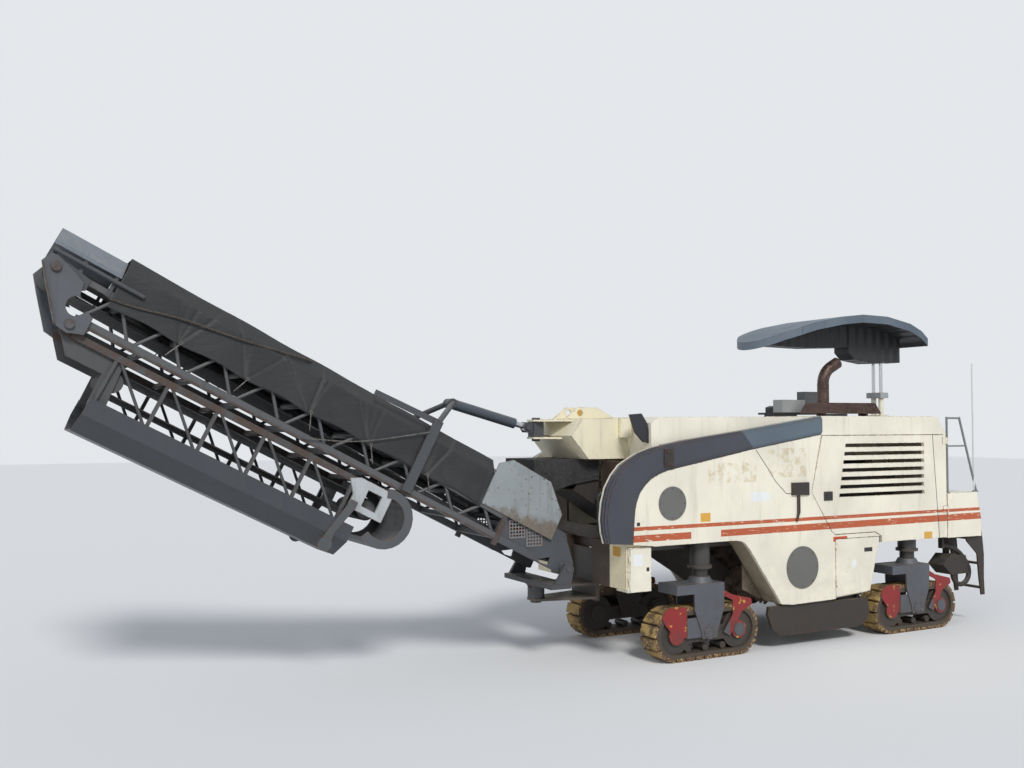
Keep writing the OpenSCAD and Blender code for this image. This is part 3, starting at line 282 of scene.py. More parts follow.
# The side walls, engine side door and platform panel: cream-white enamel on thick plate, with two
# orange-red stripes along each side. The lower one is interrupted where a bare field was left.
joints = {joint["name"]: joint for joint in frame["joints"]}
front_axle = joints["steer_front_left"]["pos_m"][0]
rear_axle = joints["steer_rear_left"]["pos_m"][0]
cream = (0.80, 0.755, 0.62)
orange = (0.47, 0.10, 0.035)
black = (0.02, 0.02, 0.022, 1)
stain_brown = (0.55, 0.43, 0.22, 1)
outer_face, door_face = 0.933, 0.941
# where the stripes begin and end, and each one's low edge there, then its high edge there
stripe_front, stripe_rear = 1.0, -4.26
upper_stripe = (1.40, 1.409), (1.44, 1.447)
lower_stripe = (1.285, 1.303), (1.355, 1.384)
bare_field = (-0.134, 0.263)
# marks as rectangles: x from and to, counted from the front axle, and z from and to
stained = (-0.63, 0.03, 1.86, 2.07), (-1.36, -0.80, 1.90, 2.22)
side_labels = (
    ((0.66, 0.36, 0.06, 1), ((0.007, 0.140, 1.456, 1.549), (-3.392, -3.251, 1.096, 1.187))),
    ((0.76, 0.78, 0.76, 1), ((-0.814, -0.555, 1.646, 1.746),)),
    ((0.55, 0.07, 0.02, 1), ((-1.978, -1.759, 1.147, 1.204),)))
# a small hole in the wall, painted black as its shade
shaded_hole = (0.915, 0.955, 1.45, 1.487)
door_latch = (-1.76, -1.61, 1.615, 1.725)
# seams as lines through x and z: around the hatch ahead of the engine door, and of the rear wall
hatch_seam = (-0.628, 2.204), (-0.806, 1.987), (-0.905, 1.855), (-1.059, 1.718), (-1.401, 1.691)
rear_seam = (-3.42, 2.36), (-3.52, 1.10)


def axes_of(tree):
    """X from the front axle, the distance from the middle plane and Z, as sockets in metres."""
    place = place_of(tree)
    axes = add(tree, "ShaderNodeSeparateXYZ", {0: place})
    return (math_of(tree, "SUBTRACT", axes.outputs["X"], front_axle),
            math_of(tree, "ABSOLUTE", axes.outputs["Y"]), axes.outputs["Z"])


def above(tree, value, limit):
    """A mask: 1 where a value is greater than a limit, and 0 elsewhere."""
    return math_of(tree, "GREATER_THAN", value, limit)


def below(tree, value, limit):
    """A mask: 1 where a value is less than a limit, and 0 elsewhere."""
    return math_of(tree, "LESS_THAN", value, limit)


def all_of(tree, *masks):
    """The masks' product: 1 where all of them are 1."""
    made = masks[0]
    for mask in masks[1:]:
        made = math_of(tree, "MULTIPLY", made, mask)
    return made


def any_of(tree, *masks):
    """The highest of the masks: 1 where any of them is 1."""
    made = masks[0]
    for mask in masks[1:]:
        made = math_of(tree, "MAXIMUM", made, mask)
    return made


def within(tree, value, low, high):
    """1 where a value lies between two limits."""
    return all_of(tree, above(tree, value, low), below(tree, value, high))


def left_of(tree):
    """1 on the machine's left side, which is the one that is seen."""
    place = place_of(tree)
    return above(tree, add(tree, "ShaderNodeSeparateXYZ", {0: place}).outputs["Y"], 0.0)


def line_of(tree, a, b, points, half=0.004):
    """1 within half a width of an open line through points in the plane of two measures."""
    stretches = []
    for (a0, b0), (a1, b1) in zip(points, points[1:]):
        length = math.hypot(a1 - a0, b1 - b0)
        ca, cb = (a1 - a0) / length, (b1 - b0) / length
        along = math_of(tree, "MULTIPLY_ADD", a, ca, math_of(tree, "MULTIPLY", b, cb))
        off = math_of(tree, "SUBTRACT", math_of(tree, "MULTIPLY", b, ca), math_of(tree, "MULTIPLY", a, cb))
        start, level = a0 * ca + b0 * cb, b0 * ca - a0 * cb
        stretches.append(all_of(tree, within(tree, along, start - half, start + length + half),
                                within(tree, off, level - half, level + half)))
    return any_of(tree, *stretches)


def fields_of(tree, a, b, *fields):
    """1 inside any of several rectangles in the plane of two measures, each with four limits."""
    return any_of(tree, *(all_of(tree, within(tree, a, low_a, high_a), within(tree, b, low_b, high_b))
                          for low_a, high_a, low_b, high_b in fields))


def stripe_of(tree, x, z, *edges):
    """1 between two straight edges, each given by its heights at the stripes' two ends."""
    heights = []
    for at_front, at_rear in edges:
        rise = (at_rear - at_front) / (stripe_rear - stripe_front)
        heights.append(math_of(tree, "MULTIPLY_ADD", x, rise, at_front - rise * stripe_front))
    return all_of(tree, above(tree, z, heights[0]), below(tree, z, heights[1]))


def side_marks(tree, paint):
    """Stripes that rise slightly towards the rear, stains, blank labels, seams, a small hole painted black
    as shade, and a latch.
    """
    x, across, z = axes_of(tree)
    place = place_of(tree)
    outer = above(tree, across, outer_face)
    seen = all_of(tree, outer, left_of(tree))
    # brown, ragged stains under the stripes
    ragged = ramp_of(tree, noise_of(tree, place, 11.0, 6.0, 0.7), 0.46, 0.62, 0.0, 0.55)
    stain = all_of(tree, fields_of(tree, x, z, *stained), ragged, seen)
    tint = mix_of(tree, stain, (*paint, 1), stain_brown)
    # the stripes, worn through in short lengthwise scratches
    lower = math_of(tree, "SUBTRACT", stripe_of(tree, x, z, *lower_stripe),
                    within(tree, x, *bare_field), clamp=True)
    stripes = any_of(tree, stripe_of(tree, x, z, *upper_stripe), lower)
    scratches = noise_of(tree, stretched(tree, place, 5.0, 5.0, 30.0), 2.0, 5.0, 0.7)
    whole = ramp_of(tree, scratches, 0.60, 0.66, 1.0, 0.0)
    tint = mix_of(tree, all_of(tree, stripes, outer, whole), tint, (*orange, 1))
    for colour, fields in side_labels:
        tint = mix_of(tree, all_of(tree, fields_of(tree, x, z, *fields), seen), tint, colour)
    # seams, and the small hole painted black as shade
    dark = any_of(tree, line_of(tree, x, z, hatch_seam), line_of(tree, x, z, rear_seam, half=0.005),
                  fields_of(tree, x, z, shaded_hole))
    latch = all_of(tree, fields_of(tree, x, z, door_latch), above(tree, across, door_face))
    return mix_of(tree, any_of(tree, all_of(tree, dark, seen), latch), tint, black)


dress(painted("cream_panel", cream, chipping=0.38, streaks=0.22, splash=0.35, marks=side_marks),
      "side_walls", "engine_door", "platform")


# The hoods, storage compartments and corner box: folded and welded sheet in the same enamel, bare of
# any mark.
dress(painted("cream_paint", cream, chipping=0.38, streaks=0.22, splash=0.35),
      "stores", "small_box", "front_hood", "engine_hood")


# Small doors of folded sheet on two hinges, in the same enamel: the storage doors with a slot for the
# hand painted black as shade and a blank white oval, and the corner box's door with a blank label and a
# lock.
# the hand slot, painted black as shade, and the lock: x from and to, and z from and to
shaded_slot_and_lock = (-2.377, -2.246, 1.007, 1.055), (0.80, 0.835, 0.985, 1.025)
door_label = (0.880, 0.993, 1.048, 1.162)
# the oval's middle, x and z, and half of its length and height
oval_middle, oval_half = (-2.085, 0.88), (0.035, 0.05)
blank_white = (0.82, 0.83, 0.82, 1)


def oval_of(tree, a, b, middle, half):
    """1 inside an ellipse in the plane of two measures: the distances from its middle, each divided by
    its half axis and squared, add up to less than 1."""
    squares = []
    for value, centre, reach in zip((a, b), middle, half):
        off = math_of(tree, "DIVIDE", math_of(tree, "SUBTRACT", value, centre), reach)
        squares.append(math_of(tree, "MULTIPLY", off, off))
    return below(tree, math_of(tree, "ADD", *squares), 1.0)


def door_marks(tree, paint):
    """The slot painted black as shade, the oval, the label and the lock on the outer faces."""
    x, _, z = axes_of(tree)
    white = any_of(tree, oval_of(tree, x, z, oval_middle, oval_half), fields_of(tree, x, z, door_label))
    tint = mix_of(tree, all_of(tree, white, left_of(tree)), (*paint, 1), blank_white)
    return mix_of(tree, fields_of(tree, x, z, *shaded_slot_and_lock), tint, black)


dress(painted("door_paint", cream, chipping=0.38, streaks=0.22, splash=0.35, marks=door_marks),
      "store_left", "store_right", "box_door")


# The nose between the side walls: welded plate, rusty and ochre-tinted cream on its outer corners,
# and black with oil and dust between them, where the conveyor's lower seat is bolted on.
corner_from, corner_front = 0.60, 1.059
band_seat, band_seat_z = 0.83, 1.272
ochre_patch = (0.66, 0.80, 1.13, 1.23)
patch_ochre = (0.62, 0.33, 0.06, 1)
oil_black, oily_dust = (0.012, 0.010, 0.009, 1), (0.11, 0.075, 0.05, 1)


def nose_tones(tree, paint):
    """Dark between the outer corners and over them, with an ochre patch on the left one's front."""
    x, across, z = axes_of(tree)
    place = place_of(tree)
    inner = below(tree, across, corner_from)
    over = all_of(tree, above(tree, z, band_seat_z), below(tree, across, band_seat))
    patch = all_of(tree, fields_of(tree, across, z, ochre_patch), above(tree, x, corner_front),
                   left_of(tree))
    tint = mix_of(tree, patch, (*paint, 1), patch_ochre)
    oily = mix_of(tree, noise_of(tree, place, 8.0, 5.0, 0.7), oil_black, oily_dust)
    return mix_of(tree, any_of(tree, inner, over), tint, oily)


dress(painted("nose_paint", (0.79, 0.70, 0.48), chipping=0.78, streaks=0.5, splash=0.6,
              rust=(0.13, 0.06, 0.03), marks=nose_tones), "nose")
dress(painted("oily_steel", (0.075, 0.065, 0.055), chipping=0.6, streaks=0.6), "lower_bracket")


# The upper bracket: a hollow welded tower in ochre-tinted cream. The far gusset has a painted ochre glow
# on it, standing in for warm light bounced between the gussets, which shows through the near gusset's eye.
# the painted glow of bounced light: its middle in x and z, its radius and its ochre
glow_middle, glow_radius, bounce_glow_ochre = (0.995, 2.609), 0.045, (0.60, 0.34, 0.07, 1)


def bracket_glow_tones(tree, paint):
    """A painted ochre glow of bounced light on the right gusset, behind the eyes' axis."""
    x, _, z = axes_of(tree)
    blot = all_of(tree, oval_of(tree, x, z, glow_middle, (glow_radius, glow_radius)),
                  math_of(tree, "SUBTRACT", 1.0, left_of(tree)))
    return mix_of(tree, blot, (*paint, 1), bounce_glow_ochre)


dress(painted("bracket_paint", (0.82, 0.75, 0.55), chipping=0.55, streaks=0.3, marks=bracket_glow_tones),
      "top_bracket")


# The chassis between the walls, of welded beams and plates: dark grey with dirt and painted shade where
# the legs' sleeves and beams are, and cream on the low rear deck.
deck_z, deck_rear, deck_front = 1.595, -4.22, -3.5


def frame_deck_and_shade(tree, paint):
    """Cream on the rear deck and the tail wall, and elsewhere the dark grey of dirt and painted shade."""
    x, _, z = axes_of(tree)
    deck = any_of(tree, above(tree, z, deck_z), below(tree, x, deck_rear))
    return mix_of(tree, all_of(tree, deck, below(tree, x, deck_front)), (*paint, 1), (*cream, 1))


# the dark base colour is dirt and painted shade under the body
dress(painted("chassis_dirt_and_shade", (0.05, 0.048, 0.045), grime=(0.045, 0.038, 0.03), chipping=0.5,
              streaks=0.6, splash=0.8, marks=frame_deck_and_shade), "frame")


# The chamber round the drum, of thick wear plate: dark with asphalt dust, and beige with road dust on
# the linings that are seen through the wheel arches.
lining_from, lining_rear, road_dust = 0.585, -1.3, (0.36, 0.30, 0.21, 1)


def housing_tones(tree, paint):
    """Beige on the linings and on the outer faces of the drum's own walls ahead of it."""
    x, across, _ = axes_of(tree)
    beige = all_of(tree, above(tree, across, lining_from), above(tree, x, lining_rear))
    return mix_of(tree, beige, (*paint, 1), road_dust)


dress(painted("housing_steel", (0.05, 0.045, 0.04), grime=(0.06, 0.05, 0.04), chipping=0.6,
              streaks=0.6, splash=0.9, rust=(0.22, 0.10, 0.04), marks=housing_tones), "drum_housing")


# The canopy's two outer tubes, welded on the engine hood in body cream, under a light grey clamp box
# that holds the sliding inner tubes.
clamp_z, clamp_grey = 2.812, (0.33, 0.35, 0.36, 1)


def post_tones(tree, paint):
    """Grey above the tubes' collar."""
    return mix_of(tree, above(tree, axes_of(tree)[2], clamp_z), (*paint, 1), clamp_grey)


dress(painted("post_paint", cream, chipping=0.5, streaks=0.3, marks=post_tones), "posts")


# The moulded band that runs over each front corner, of smooth coated sheet: dark anthracite, with a
# blue-grey rear end behind a slanted seam. The round covers are bolted plates in dull grey.
seam_lean, seam_foot, rear_blue = 0.843, (-0.419, 2.414), (0.10, 0.135, 0.165, 1)


def band_tones(tree, paint):
    """Blue-grey behind the slanted seam through its foot, anthracite ahead of it."""
    x, _, z = axes_of(tree)
    seam = math_of(tree, "MULTIPLY_ADD", z, seam_lean, seam_foot[0] - seam_foot[1] * seam_lean)
    return mix_of(tree, below(tree, x, seam), (*paint, 1), rear_blue)


dress(painted("anthracite_band", (0.05, 0.054, 0.068), chipping=0.12, streaks=0.15, gloss=0.34,
              marks=band_tones), "side_trim")
dress(painted("cover_grey", (0.135, 0.135, 0.125), chipping=0.2, streaks=0.2, gloss=0.5), "round_covers")


# Structural steel of the conveyor, the cradle and the lift cylinder: dark grey paint, scratched and
# dusty, with bare rust on the worn flanges and on the folding section's near chord.
slope = math.radians(27.0)
luff_x, _, luff_z = joints["conveyor_luff"]["pos_m"]
steel_rust = (0.07, 0.043, 0.032)
bare_rust = (0.062, 0.038, 0.028, 1)
dark_dirt = (0.055, 0.048, 0.04)


def boom_axes(tree):
    """Distances along the conveyor, from the middle plane and square to its belt, from the luffing axis."""
    x, across, z = axes_of(tree)
    x = math_of(tree, "SUBTRACT", x, luff_x - front_axle)
    z = math_of(tree, "SUBTRACT", z, luff_z)
    along = math_of(tree, "ADD", math_of(tree, "MULTIPLY", x, math.cos(slope)),
                    math_of(tree, "MULTIPLY", z, math.sin(slope)))
    over = math_of(tree, "SUBTRACT", math_of(tree, "MULTIPLY", z, math.cos(slope)),
                   math_of(tree, "MULTIPLY", x, math.sin(slope)))
    return along, across, over


def inside_box(tree, box):
    """1 inside a box of limits along, across and over on the conveyor."""
    return all_of(tree, *(within(tree, value, *limits) for value, limits in zip(boom_axes(tree), box)))


def rusted(box):
    """A marks function: patchy rust inside a box on the conveyor."""
    def marks(tree, paint):
        place = place_of(tree)
        eaten = ramp_of(tree, noise_of(tree, place, 9.0, 6.0, 0.7), 0.34, 0.56)
        return mix_of(tree, all_of(tree, eaten, inside_box(tree, box)), (*paint, 1), bare_rust)
    return marks


everywhere = (-9.0, 9.0)
# columns: finish, paint, chipping, streaks, gloss, box of bare rust, nodes
for finish, paint, chipping, streaks, gloss, box, names in (
        ("conveyor_grey", (0.055, 0.059, 0.065), 0.62, 0.5, 0.5, None,
         ("gantry", "slew_cradle", "slew_head", "boom_head")),
        ("chord_grey", (0.085, 0.088, 0.09), 0.66, 0.6, 0.5,
         (everywhere, (0.429, 0.44), (-0.08, -0.055)), ("boom_frame",)),
        ("cheek_grey", (0.085, 0.092, 0.102), 0.6, 0.5, 0.5,
         (everywhere, (0.4585, 0.50), (-0.2, 0.3)), ("fold_arms",)),
        ("tail_grey", (0.066, 0.071, 0.08), 0.65, 0.6, 0.5,
         ((0.843, 0.902), (0.401, 0.45), everywhere), ("boom_tail",)),
        ("section_grey", (0.066, 0.068, 0.07), 0.66, 0.6, 0.55,
         (everywhere, everywhere, (-0.20, -0.13)), ("tip_frame",)),
        ("chute_grey", (0.045, 0.05, 0.058), 0.4, 0.6, 0.42, None, ("tip_cover",)),
        ("cylinder_blue", (0.055, 0.068, 0.085), 0.4, 0.4, 0.42, None, ("lift_barrel",))):
    dress(painted(finish, paint, chipping, streaks, gloss=gloss, rust=steel_rust, grime=dark_dirt,
                  marks=rusted(box) if box else None), *names)


# Sheet steel on the conveyor: the head's scratched blue-grey cover, the perforated plates on the
# tail's cheeks, and the galvanised hopper, whose lower part is caked with brown dust.
cake_dark, cake_light = (0.05, 0.036, 0.024, 1), (0.24, 0.185, 0.13, 1)


def hopper_tones(tree, paint):
    """Brown, caked dust on the lower part of the hopper's sheets, with a ragged upper edge."""
    along, _, over = boom_axes(tree)
    place = place_of(tree)
    ragged = math_of(tree, "MULTIPLY_ADD", noise_of(tree, place, 7.0, 6.0, 0.7), -0.30, over)
    level = math_of(tree, "MULTIPLY_ADD", along, 0.25, ragged)
    caked = ramp_of(tree, level, 0.36, 0.24, 0.0, 0.85)
    mottle = mix_of(tree, noise_of(tree, place, 30.0, 5.0, 0.7), cake_dark, cake_light)
    return mix_of(tree, caked, (*paint, 1), mottle)


zinc, zinc_rust = (0.27, 0.295, 0.30), (0.09, 0.06, 0.045)
dress(painted("galvanised_sheet", zinc, chipping=1.0, streaks=0.6, gloss=0.5, rust=zinc_rust,
              marks=hopper_tones), "hopper")
dress(painted("hoop_steel", zinc, chipping=1.0, streaks=0.6, gloss=0.5, rust=zinc_rust), "boom_hoops")
dress(painted("cover_plate", (0.17, 0.195, 0.225), chipping=0.8, streaks=0.4, rust=(0.07, 0.05, 0.045)),
      "boom_cover")
dress(painted("grille_plate", (0.17, 0.175, 0.18), chipping=0.7, streaks=0.6, gloss=0.5), "tail_grilles")


# The conveyor's free end: cast motor frames in light grey, bolted beside the end drum, and a dark
# round discharge hood of rolled sheet around them.
motor_frames = (2.055, 2.53), (0.399, 0.4255), (-0.43, -0.12)
hood_grey = (0.075, 0.08, 0.085, 1)


def free_end_tones(tree, paint):
    """Dark outside the motor frames' box."""
    return mix_of(tree, inside_box(tree, motor_frames), hood_grey, (*paint, 1))


dress(painted("motor_frame", (0.42, 0.44, 0.45), chipping=0.66, streaks=0.5, marks=free_end_tones),
      "tip_head")


# Steel that the machine's work keeps dark: the floating side plates, the collecting conveyor, the
# engine block, the steps, the towing block and the doors' catches. The mirror's shell is moulded.
dress(painted("dark_steel", (0.03, 0.026, 0.023), chipping=0.7, streaks=0.7, splash=0.8, gloss=0.6,
              grime=(0.05, 0.038, 0.028)),
      "skids", "pickup_belt", "engine", "ladder", "rear_block", "catches")
dress(painted("mirror_shell", (0.02, 0.02, 0.025), chipping=0.1, streaks=0.2, gloss=0.2), "rear_mirror")


# Rails of bent round tube in worn grey paint, screwed to the rear deck, with a white marker rod at
# the rear left corner.
rod_x, rod_z, rod_white = (-4.192, -4.168), 1.66, (0.62, 0.62, 0.60, 1)


def rail_tones(tree, paint):
    """White on the marker rod."""
    x, _, z = axes_of(tree)
    rod = all_of(tree, within(tree, x, *rod_x), above(tree, z, rod_z))
    return mix_of(tree, rod, (*paint, 1), rod_white)


dress(painted("rail_steel", (0.20, 0.21, 0.21), chipping=0.5, streaks=0.4, marks=rail_tones), "handrails")


# The steered legs and track frames: cast forks in grey, legs darkened as painted shadow of the body,
# dark frames, and red guards of bent plate on the outer faces, with yellow blots.
guard_across, guard_ahead, guard_low, guard_top = (0.8755, 0.8878), 0.2875, 0.455, 0.699
leg_low, frame_top, frame_face = 0.862, 0.56, 0.876
guard_red, blot_yellow = (0.27, 0.012, 0.014, 1), (0.60, 0.36, 0.04, 1)
# painted shadow that the body casts on the legs, also used as the track frames' dark
leg_shadow_frame_dark = (0.035, 0.03, 0.027, 1)


def from_axle(tree, x):
    """Distance along X from the nearer axle."""
    return math_of(tree, "MINIMUM", math_of(tree, "ABSOLUTE", x),
                   math_of(tree, "ABSOLUTE", math_of(tree, "SUBTRACT", x, rear_axle - front_axle)))


def bogie_tones(tree, paint):
    """Red guards on the outer faces, between the pads and the fork's plate, legs dark with painted shadow,
    and dark frames.
    """
    x, across, z = axes_of(tree)
    past_fork = any_of(tree, above(tree, from_axle(tree, x), guard_ahead), above(tree, z, guard_low))
    guard = all_of(tree, within(tree, across, *guard_across), past_fork, below(tree, z, guard_top))
    place = place_of(tree)
    blot = ramp_of(tree, noise_of(tree, place, 15.0, 4.0, 0.6), 0.62, 0.66)
    red = mix_of(tree, blot, guard_red, blot_yellow)
    frames = all_of(tree, below(tree, across, frame_face), below(tree, z, frame_top))
    # the legs above their low end darkened as painted shadow of the body, and the frames darkened
    grey = mix_of(tree, any_of(tree, above(tree, z, leg_low), frames), (*paint, 1), leg_shadow_frame_dark)
    return mix_of(tree, guard, grey, red)


dress(painted("track_fork", (0.09, 0.098, 0.115), grime=(0.06, 0.05, 0.04), chipping=0.5, streaks=0.45,
              splash=0.7, marks=bogie_tones), "bogie_fl", "bogie_fr", "bogie_rl", "bogie_rr")


# Track pads: ochre polyurethane on rusty steel shoes, bolted to a dark chain, ground down and caked
# with mud. Their mottled look is a shared group, which rubber, vinyl and bare metal also use.
mottled, given, result = new_group(
    "mottled_surface",
    [("Dark", "Color", (0.02, 0.02, 0.02, 1)), ("Middle", "Color", (0.1, 0.1, 0.1, 1)),
     ("Light", "Color", (0.3, 0.3, 0.3, 1)), ("Scale", "Float", 6.0)],
    [("Color", "Color"), ("Fine", "Float"), ("Height", "Float")])
place = place_of(mottled)
coarse = noise_of(mottled, place, given.outputs["Scale"], 6.0, 0.65)
fine = noise_of(mottled, place, math_of(mottled, "MULTIPLY", given.outputs["Scale"], 7.0), 5.0, 0.65)
tint = mix_of(mottled, ramp_of(mottled, coarse, 0.38, 0.60), given.outputs["Dark"], given.outputs["Middle"])
tint = mix_of(mottled, ramp_of(mottled, fine, 0.45, 0.70), tint, given.outputs["Light"])
mottled.links.new(tint, result.inputs["Color"])
mottled.links.new(fine, result.inputs["Fine"])
mottled.links.new(math_of(mottled, "ADD", coarse, fine), result.inputs["Height"])


def granular(name, colours, scale, gloss, depth, metallic=0.0, marks=None):
    """A rough mottled material from three colours, darkest first, with its scale in cells a metre and
    its relief's depth in metres."""
    made, out = new_material(name)
    tree = made.node_tree
    dark, middle, light = ((*colour, 1) for colour in colours)
    use = add(tree, "ShaderNodeGroup", {"Dark": dark, "Middle": middle, "Light": light, "Scale": scale},
              node_tree=mottled)
    tint, fine = use.outputs["Color"], use.outputs["Fine"]
    if marks:
        tint = marks(tree, tint, fine)
    bump = add(tree, "ShaderNodeBump", {"Height": use.outputs["Height"], "Strength": 0.6, "Distance": depth})
    shader = add(tree, "ShaderNodeBsdfPrincipled", {
        "Base Color": tint, "Metallic": metallic, "Normal": bump.outputs[0],
        "Roughness": ramp_of(tree, fine, 0.3, 0.7, gloss - 0.12, gloss + 0.12)})
    tree.links.new(shader.outputs[0], out.inputs[0])
    return made


# the loop: half of its straight part, the height of its middle line, and the pads' inner faces
half_straight, loop_middle, pads_inside = 0.415, 0.28, 0.252
wet_mud, dry_mud, shoe_rust = (0.03, 0.024, 0.018, 1), (0.10, 0.075, 0.05, 1), (0.11, 0.06, 0.032, 1)


def chain_tones(tree, tint, fine):
    """Dark steel inside the pads: nearer the loop's middle line than the pads' inner faces."""
    x, _, z = axes_of(tree)
    beyond = math_of(tree, "MAXIMUM", math_of(tree, "SUBTRACT", from_axle(tree, x), half_straight), 0.0)
    height = math_of(tree, "SUBTRACT", z, loop_middle)
    reach = math_of(tree, "SQRT", math_of(tree, "ADD", math_of(tree, "MULTIPLY", beyond, beyond),
                                          math_of(tree, "MULTIPLY", height, height)))
    inside = below(tree, math_of(tree, "MULTIPLY_ADD", fine, 0.02, reach), pads_inside)
    muddy = mix_of(tree, fine, wet_mud, dry_mud)
    # the shoes' rusty edges: what faces sideways, and what is close to the ground
    facing = add(tree, "ShaderNodeNewGeometry").outputs["True Normal"]
    sideways = math_of(tree, "ABSOLUTE", add(tree, "ShaderNodeSeparateXYZ", {0: facing}).outputs["Y"])
    edges = any_of(tree, above(tree, sideways, 0.7), ramp_of(tree, z, 0.09, 0.03))
    rusty = all_of(tree, edges, ramp_of(tree, fine, 0.62, 0.50))
    return mix_of(tree, inside, mix_of(tree, rusty, tint, shoe_rust), muddy)


dress(granular("track_pads", ((0.075, 0.04, 0.022), (0.40, 0.26, 0.085), (0.48, 0.35, 0.15)), 6.0, 0.75,
               0.012, marks=chain_tones), "track_fl", "track_fr", "track_rl", "track_rr")


# The milling drum with its welded tool holders, ground by asphalt to dull brown steel, and the rolled
# and welded exhaust, burnt dark brown.
dress(granular("worn_tools", ((0.05, 0.035, 0.028), (0.16, 0.10, 0.07), (0.26, 0.20, 0.16)), 9.0, 0.6,
               0.012, 0.3), "drum")
dress(granular("burnt_steel", ((0.05, 0.028, 0.022), (0.085, 0.05, 0.04), (0.13, 0.085, 0.066)), 5.0, 0.45,
               0.004, 0.5), "exhaust")


# Rubber: the ribbed conveyor belts, the hood over the collecting conveyor's end, and the hydraulic
# hoses clipped at the nose. The lift cylinder's rod is ground and chromed steel.
dress(granular("belt_rubber", ((0.012, 0.012, 0.013), (0.022, 0.022, 0.024), (0.05, 0.047, 0.043)), 5.0,
               0.75, 0.004), "boom_belt", "tip_belt", "pickup_hood")
dress(granular("hose_rubber", ((0.012, 0.012, 0.013), (0.028, 0.027, 0.027), (0.075, 0.07, 0.062)), 14.0,
               0.6, 0.003), "nose_hoses")
dress(granular("rod_chrome", ((0.50, 0.51, 0.53), (0.62, 0.63, 0.65), (0.40, 0.38, 0.34)), 2.0, 0.22,
               0.0005, 1.0), "lift_rod")


# Seat and console on the operator's platform: black vinyl over foam and moulded plastic, with a grey
# screen housing and a light box of switches.
console_across, console_z = 0.43, 2.634
screen_x, screen_grey = (-2.80, -2.52), (0.12, 0.125, 0.13, 1)
switches_x, switches_grey = (-2.50, -2.11), (0.42, 0.43, 0.42, 1)


def console_tones(tree, tint, _):
    """Grey on the upright screen's housing and on the box of switches."""
    x, across, z = axes_of(tree)
    on_console = all_of(tree, below(tree, across, console_across), above(tree, z, console_z))
    for limits, grey in ((screen_x, screen_grey), (switches_x, switches_grey)):
        tint = mix_of(tree, all_of(tree, on_console, within(tree, x, *limits)), tint, grey)
    return tint


dress(granular("seat_vinyl", ((0.012, 0.012, 0.013), (0.02, 0.02, 0.022), (0.035, 0.035, 0.036)), 8.0, 0.5,
               0.002, marks=console_tones), "controls")


# The canopy: one blue-grey plastic moulding with a ribbed underside, a spine and a head, on two
# bright inner tubes that slide in the posts. Its down-facing faces and the spine's sides are painted
# near black as shade.
spine_y, spine_half, spine_x = 0.18, 0.1215, (-3.61, -1.28)
tubes_x, tubes_top = (-3.343, -3.297), 3.262
roof_seam = (-1.603, -1.597)
# the underside's ribs, and the Z part of a normal past which a face counts as facing up or down
rib_pitch, facing_limit = 0.1496, 0.3
roof_blue, roof_faded = (0.075, 0.10, 0.13, 1), (0.12, 0.15, 0.18, 1)
# near black for painted shade on the canopy's underside and spine sides, and the tubes' bright steel
under_shade_dark, tube_bright = (0.014, 0.015, 0.017, 1), (0.60, 0.61, 0.63, 1)
roof_material, roof_out = new_material("canopy_plastic")
tree = roof_material.node_tree
x, _, z = axes_of(tree)
place = place_of(tree)
side_place = add(tree, "ShaderNodeSeparateXYZ", {0: place}).outputs["Y"]
off_spine = math_of(tree, "ABSOLUTE", math_of(tree, "SUBTRACT", side_place, spine_y))
normal_z = add(tree, "ShaderNodeSeparateXYZ", {
    0: add(tree, "ShaderNodeNewGeometry").outputs["True Normal"]}).outputs["Z"]
# painted shade: the spine's sides and every face that faces down are made near black
spine = all_of(tree, below(tree, off_spine, spine_half), within(tree, x, *spine_x),
               below(tree, normal_z, facing_limit))
shaded_under = any_of(tree, spine, below(tree, normal_z, -facing_limit))
tubes = all_of(tree, within(tree, x, *tubes_x), below(tree, z, tubes_top))
faded = ramp_of(tree, noise_of(tree, place, 2.2, 5.0), 0.3, 0.7)
tint = mix_of(tree, faded, roof_blue, roof_faded)
tint = mix_of(tree, within(tree, x, *roof_seam), tint, black)
tint = mix_of(tree, shaded_under, tint, under_shade_dark)
tint = mix_of(tree, tubes, tint, tube_bright)
rib_wave = math_of(tree, "SINE", math_of(tree, "MULTIPLY", x, 2 * math.pi / rib_pitch))
rib_height = math_of(tree, "MULTIPLY", all_of(tree, rib_wave, shaded_under), 0.5)
bump = add(tree, "ShaderNodeBump", {"Height": rib_height, "Strength": 0.7, "Distance": 0.02})
shader = add(tree, "ShaderNodeBsdfPrincipled", {
    "Base Color": tint, "Metallic": tubes, "Normal": bump.outputs[0],
    "Roughness": ramp_of(tree, tubes, 0.0, 1.0, 0.5, 0.2)})
tree.links.new(shader.outputs[0], roof_out.inputs[0])
dress(roof_material, "canopy")


# The conveyor's cloth: one coated black sheet laid over five hoops, pulled down by short straps at
# its lower edges, so that it sinks between the hoops and creases run up from each eyelet.
def on_boom(u, y, w):
    """Points along the conveyor u, across it y and square to it w, from the luffing axis, in metres."""
    u, y, w = np.broadcast_arrays(u, y, w)
    return np.stack([luff_x + u * math.cos(slope) - w * math.sin(slope), y,
                     luff_z + u * math.sin(slope) + w * math.cos(slope)], axis=-1)


def grid_faces(rows, columns, closed=False):
    """Quads of a grid of points, row by row, with the columns joined round where closed."""
    r, c = np.meshgrid(np.arange(rows - 1), np.arange(columns if closed else columns - 1), indexing="ij")
    d = (c + 1) % columns
    return np.stack([r * columns + c, r * columns + d, (r + 1) * columns + d, (r + 1) * columns + c],
                    axis=-1).reshape(-1, 4)


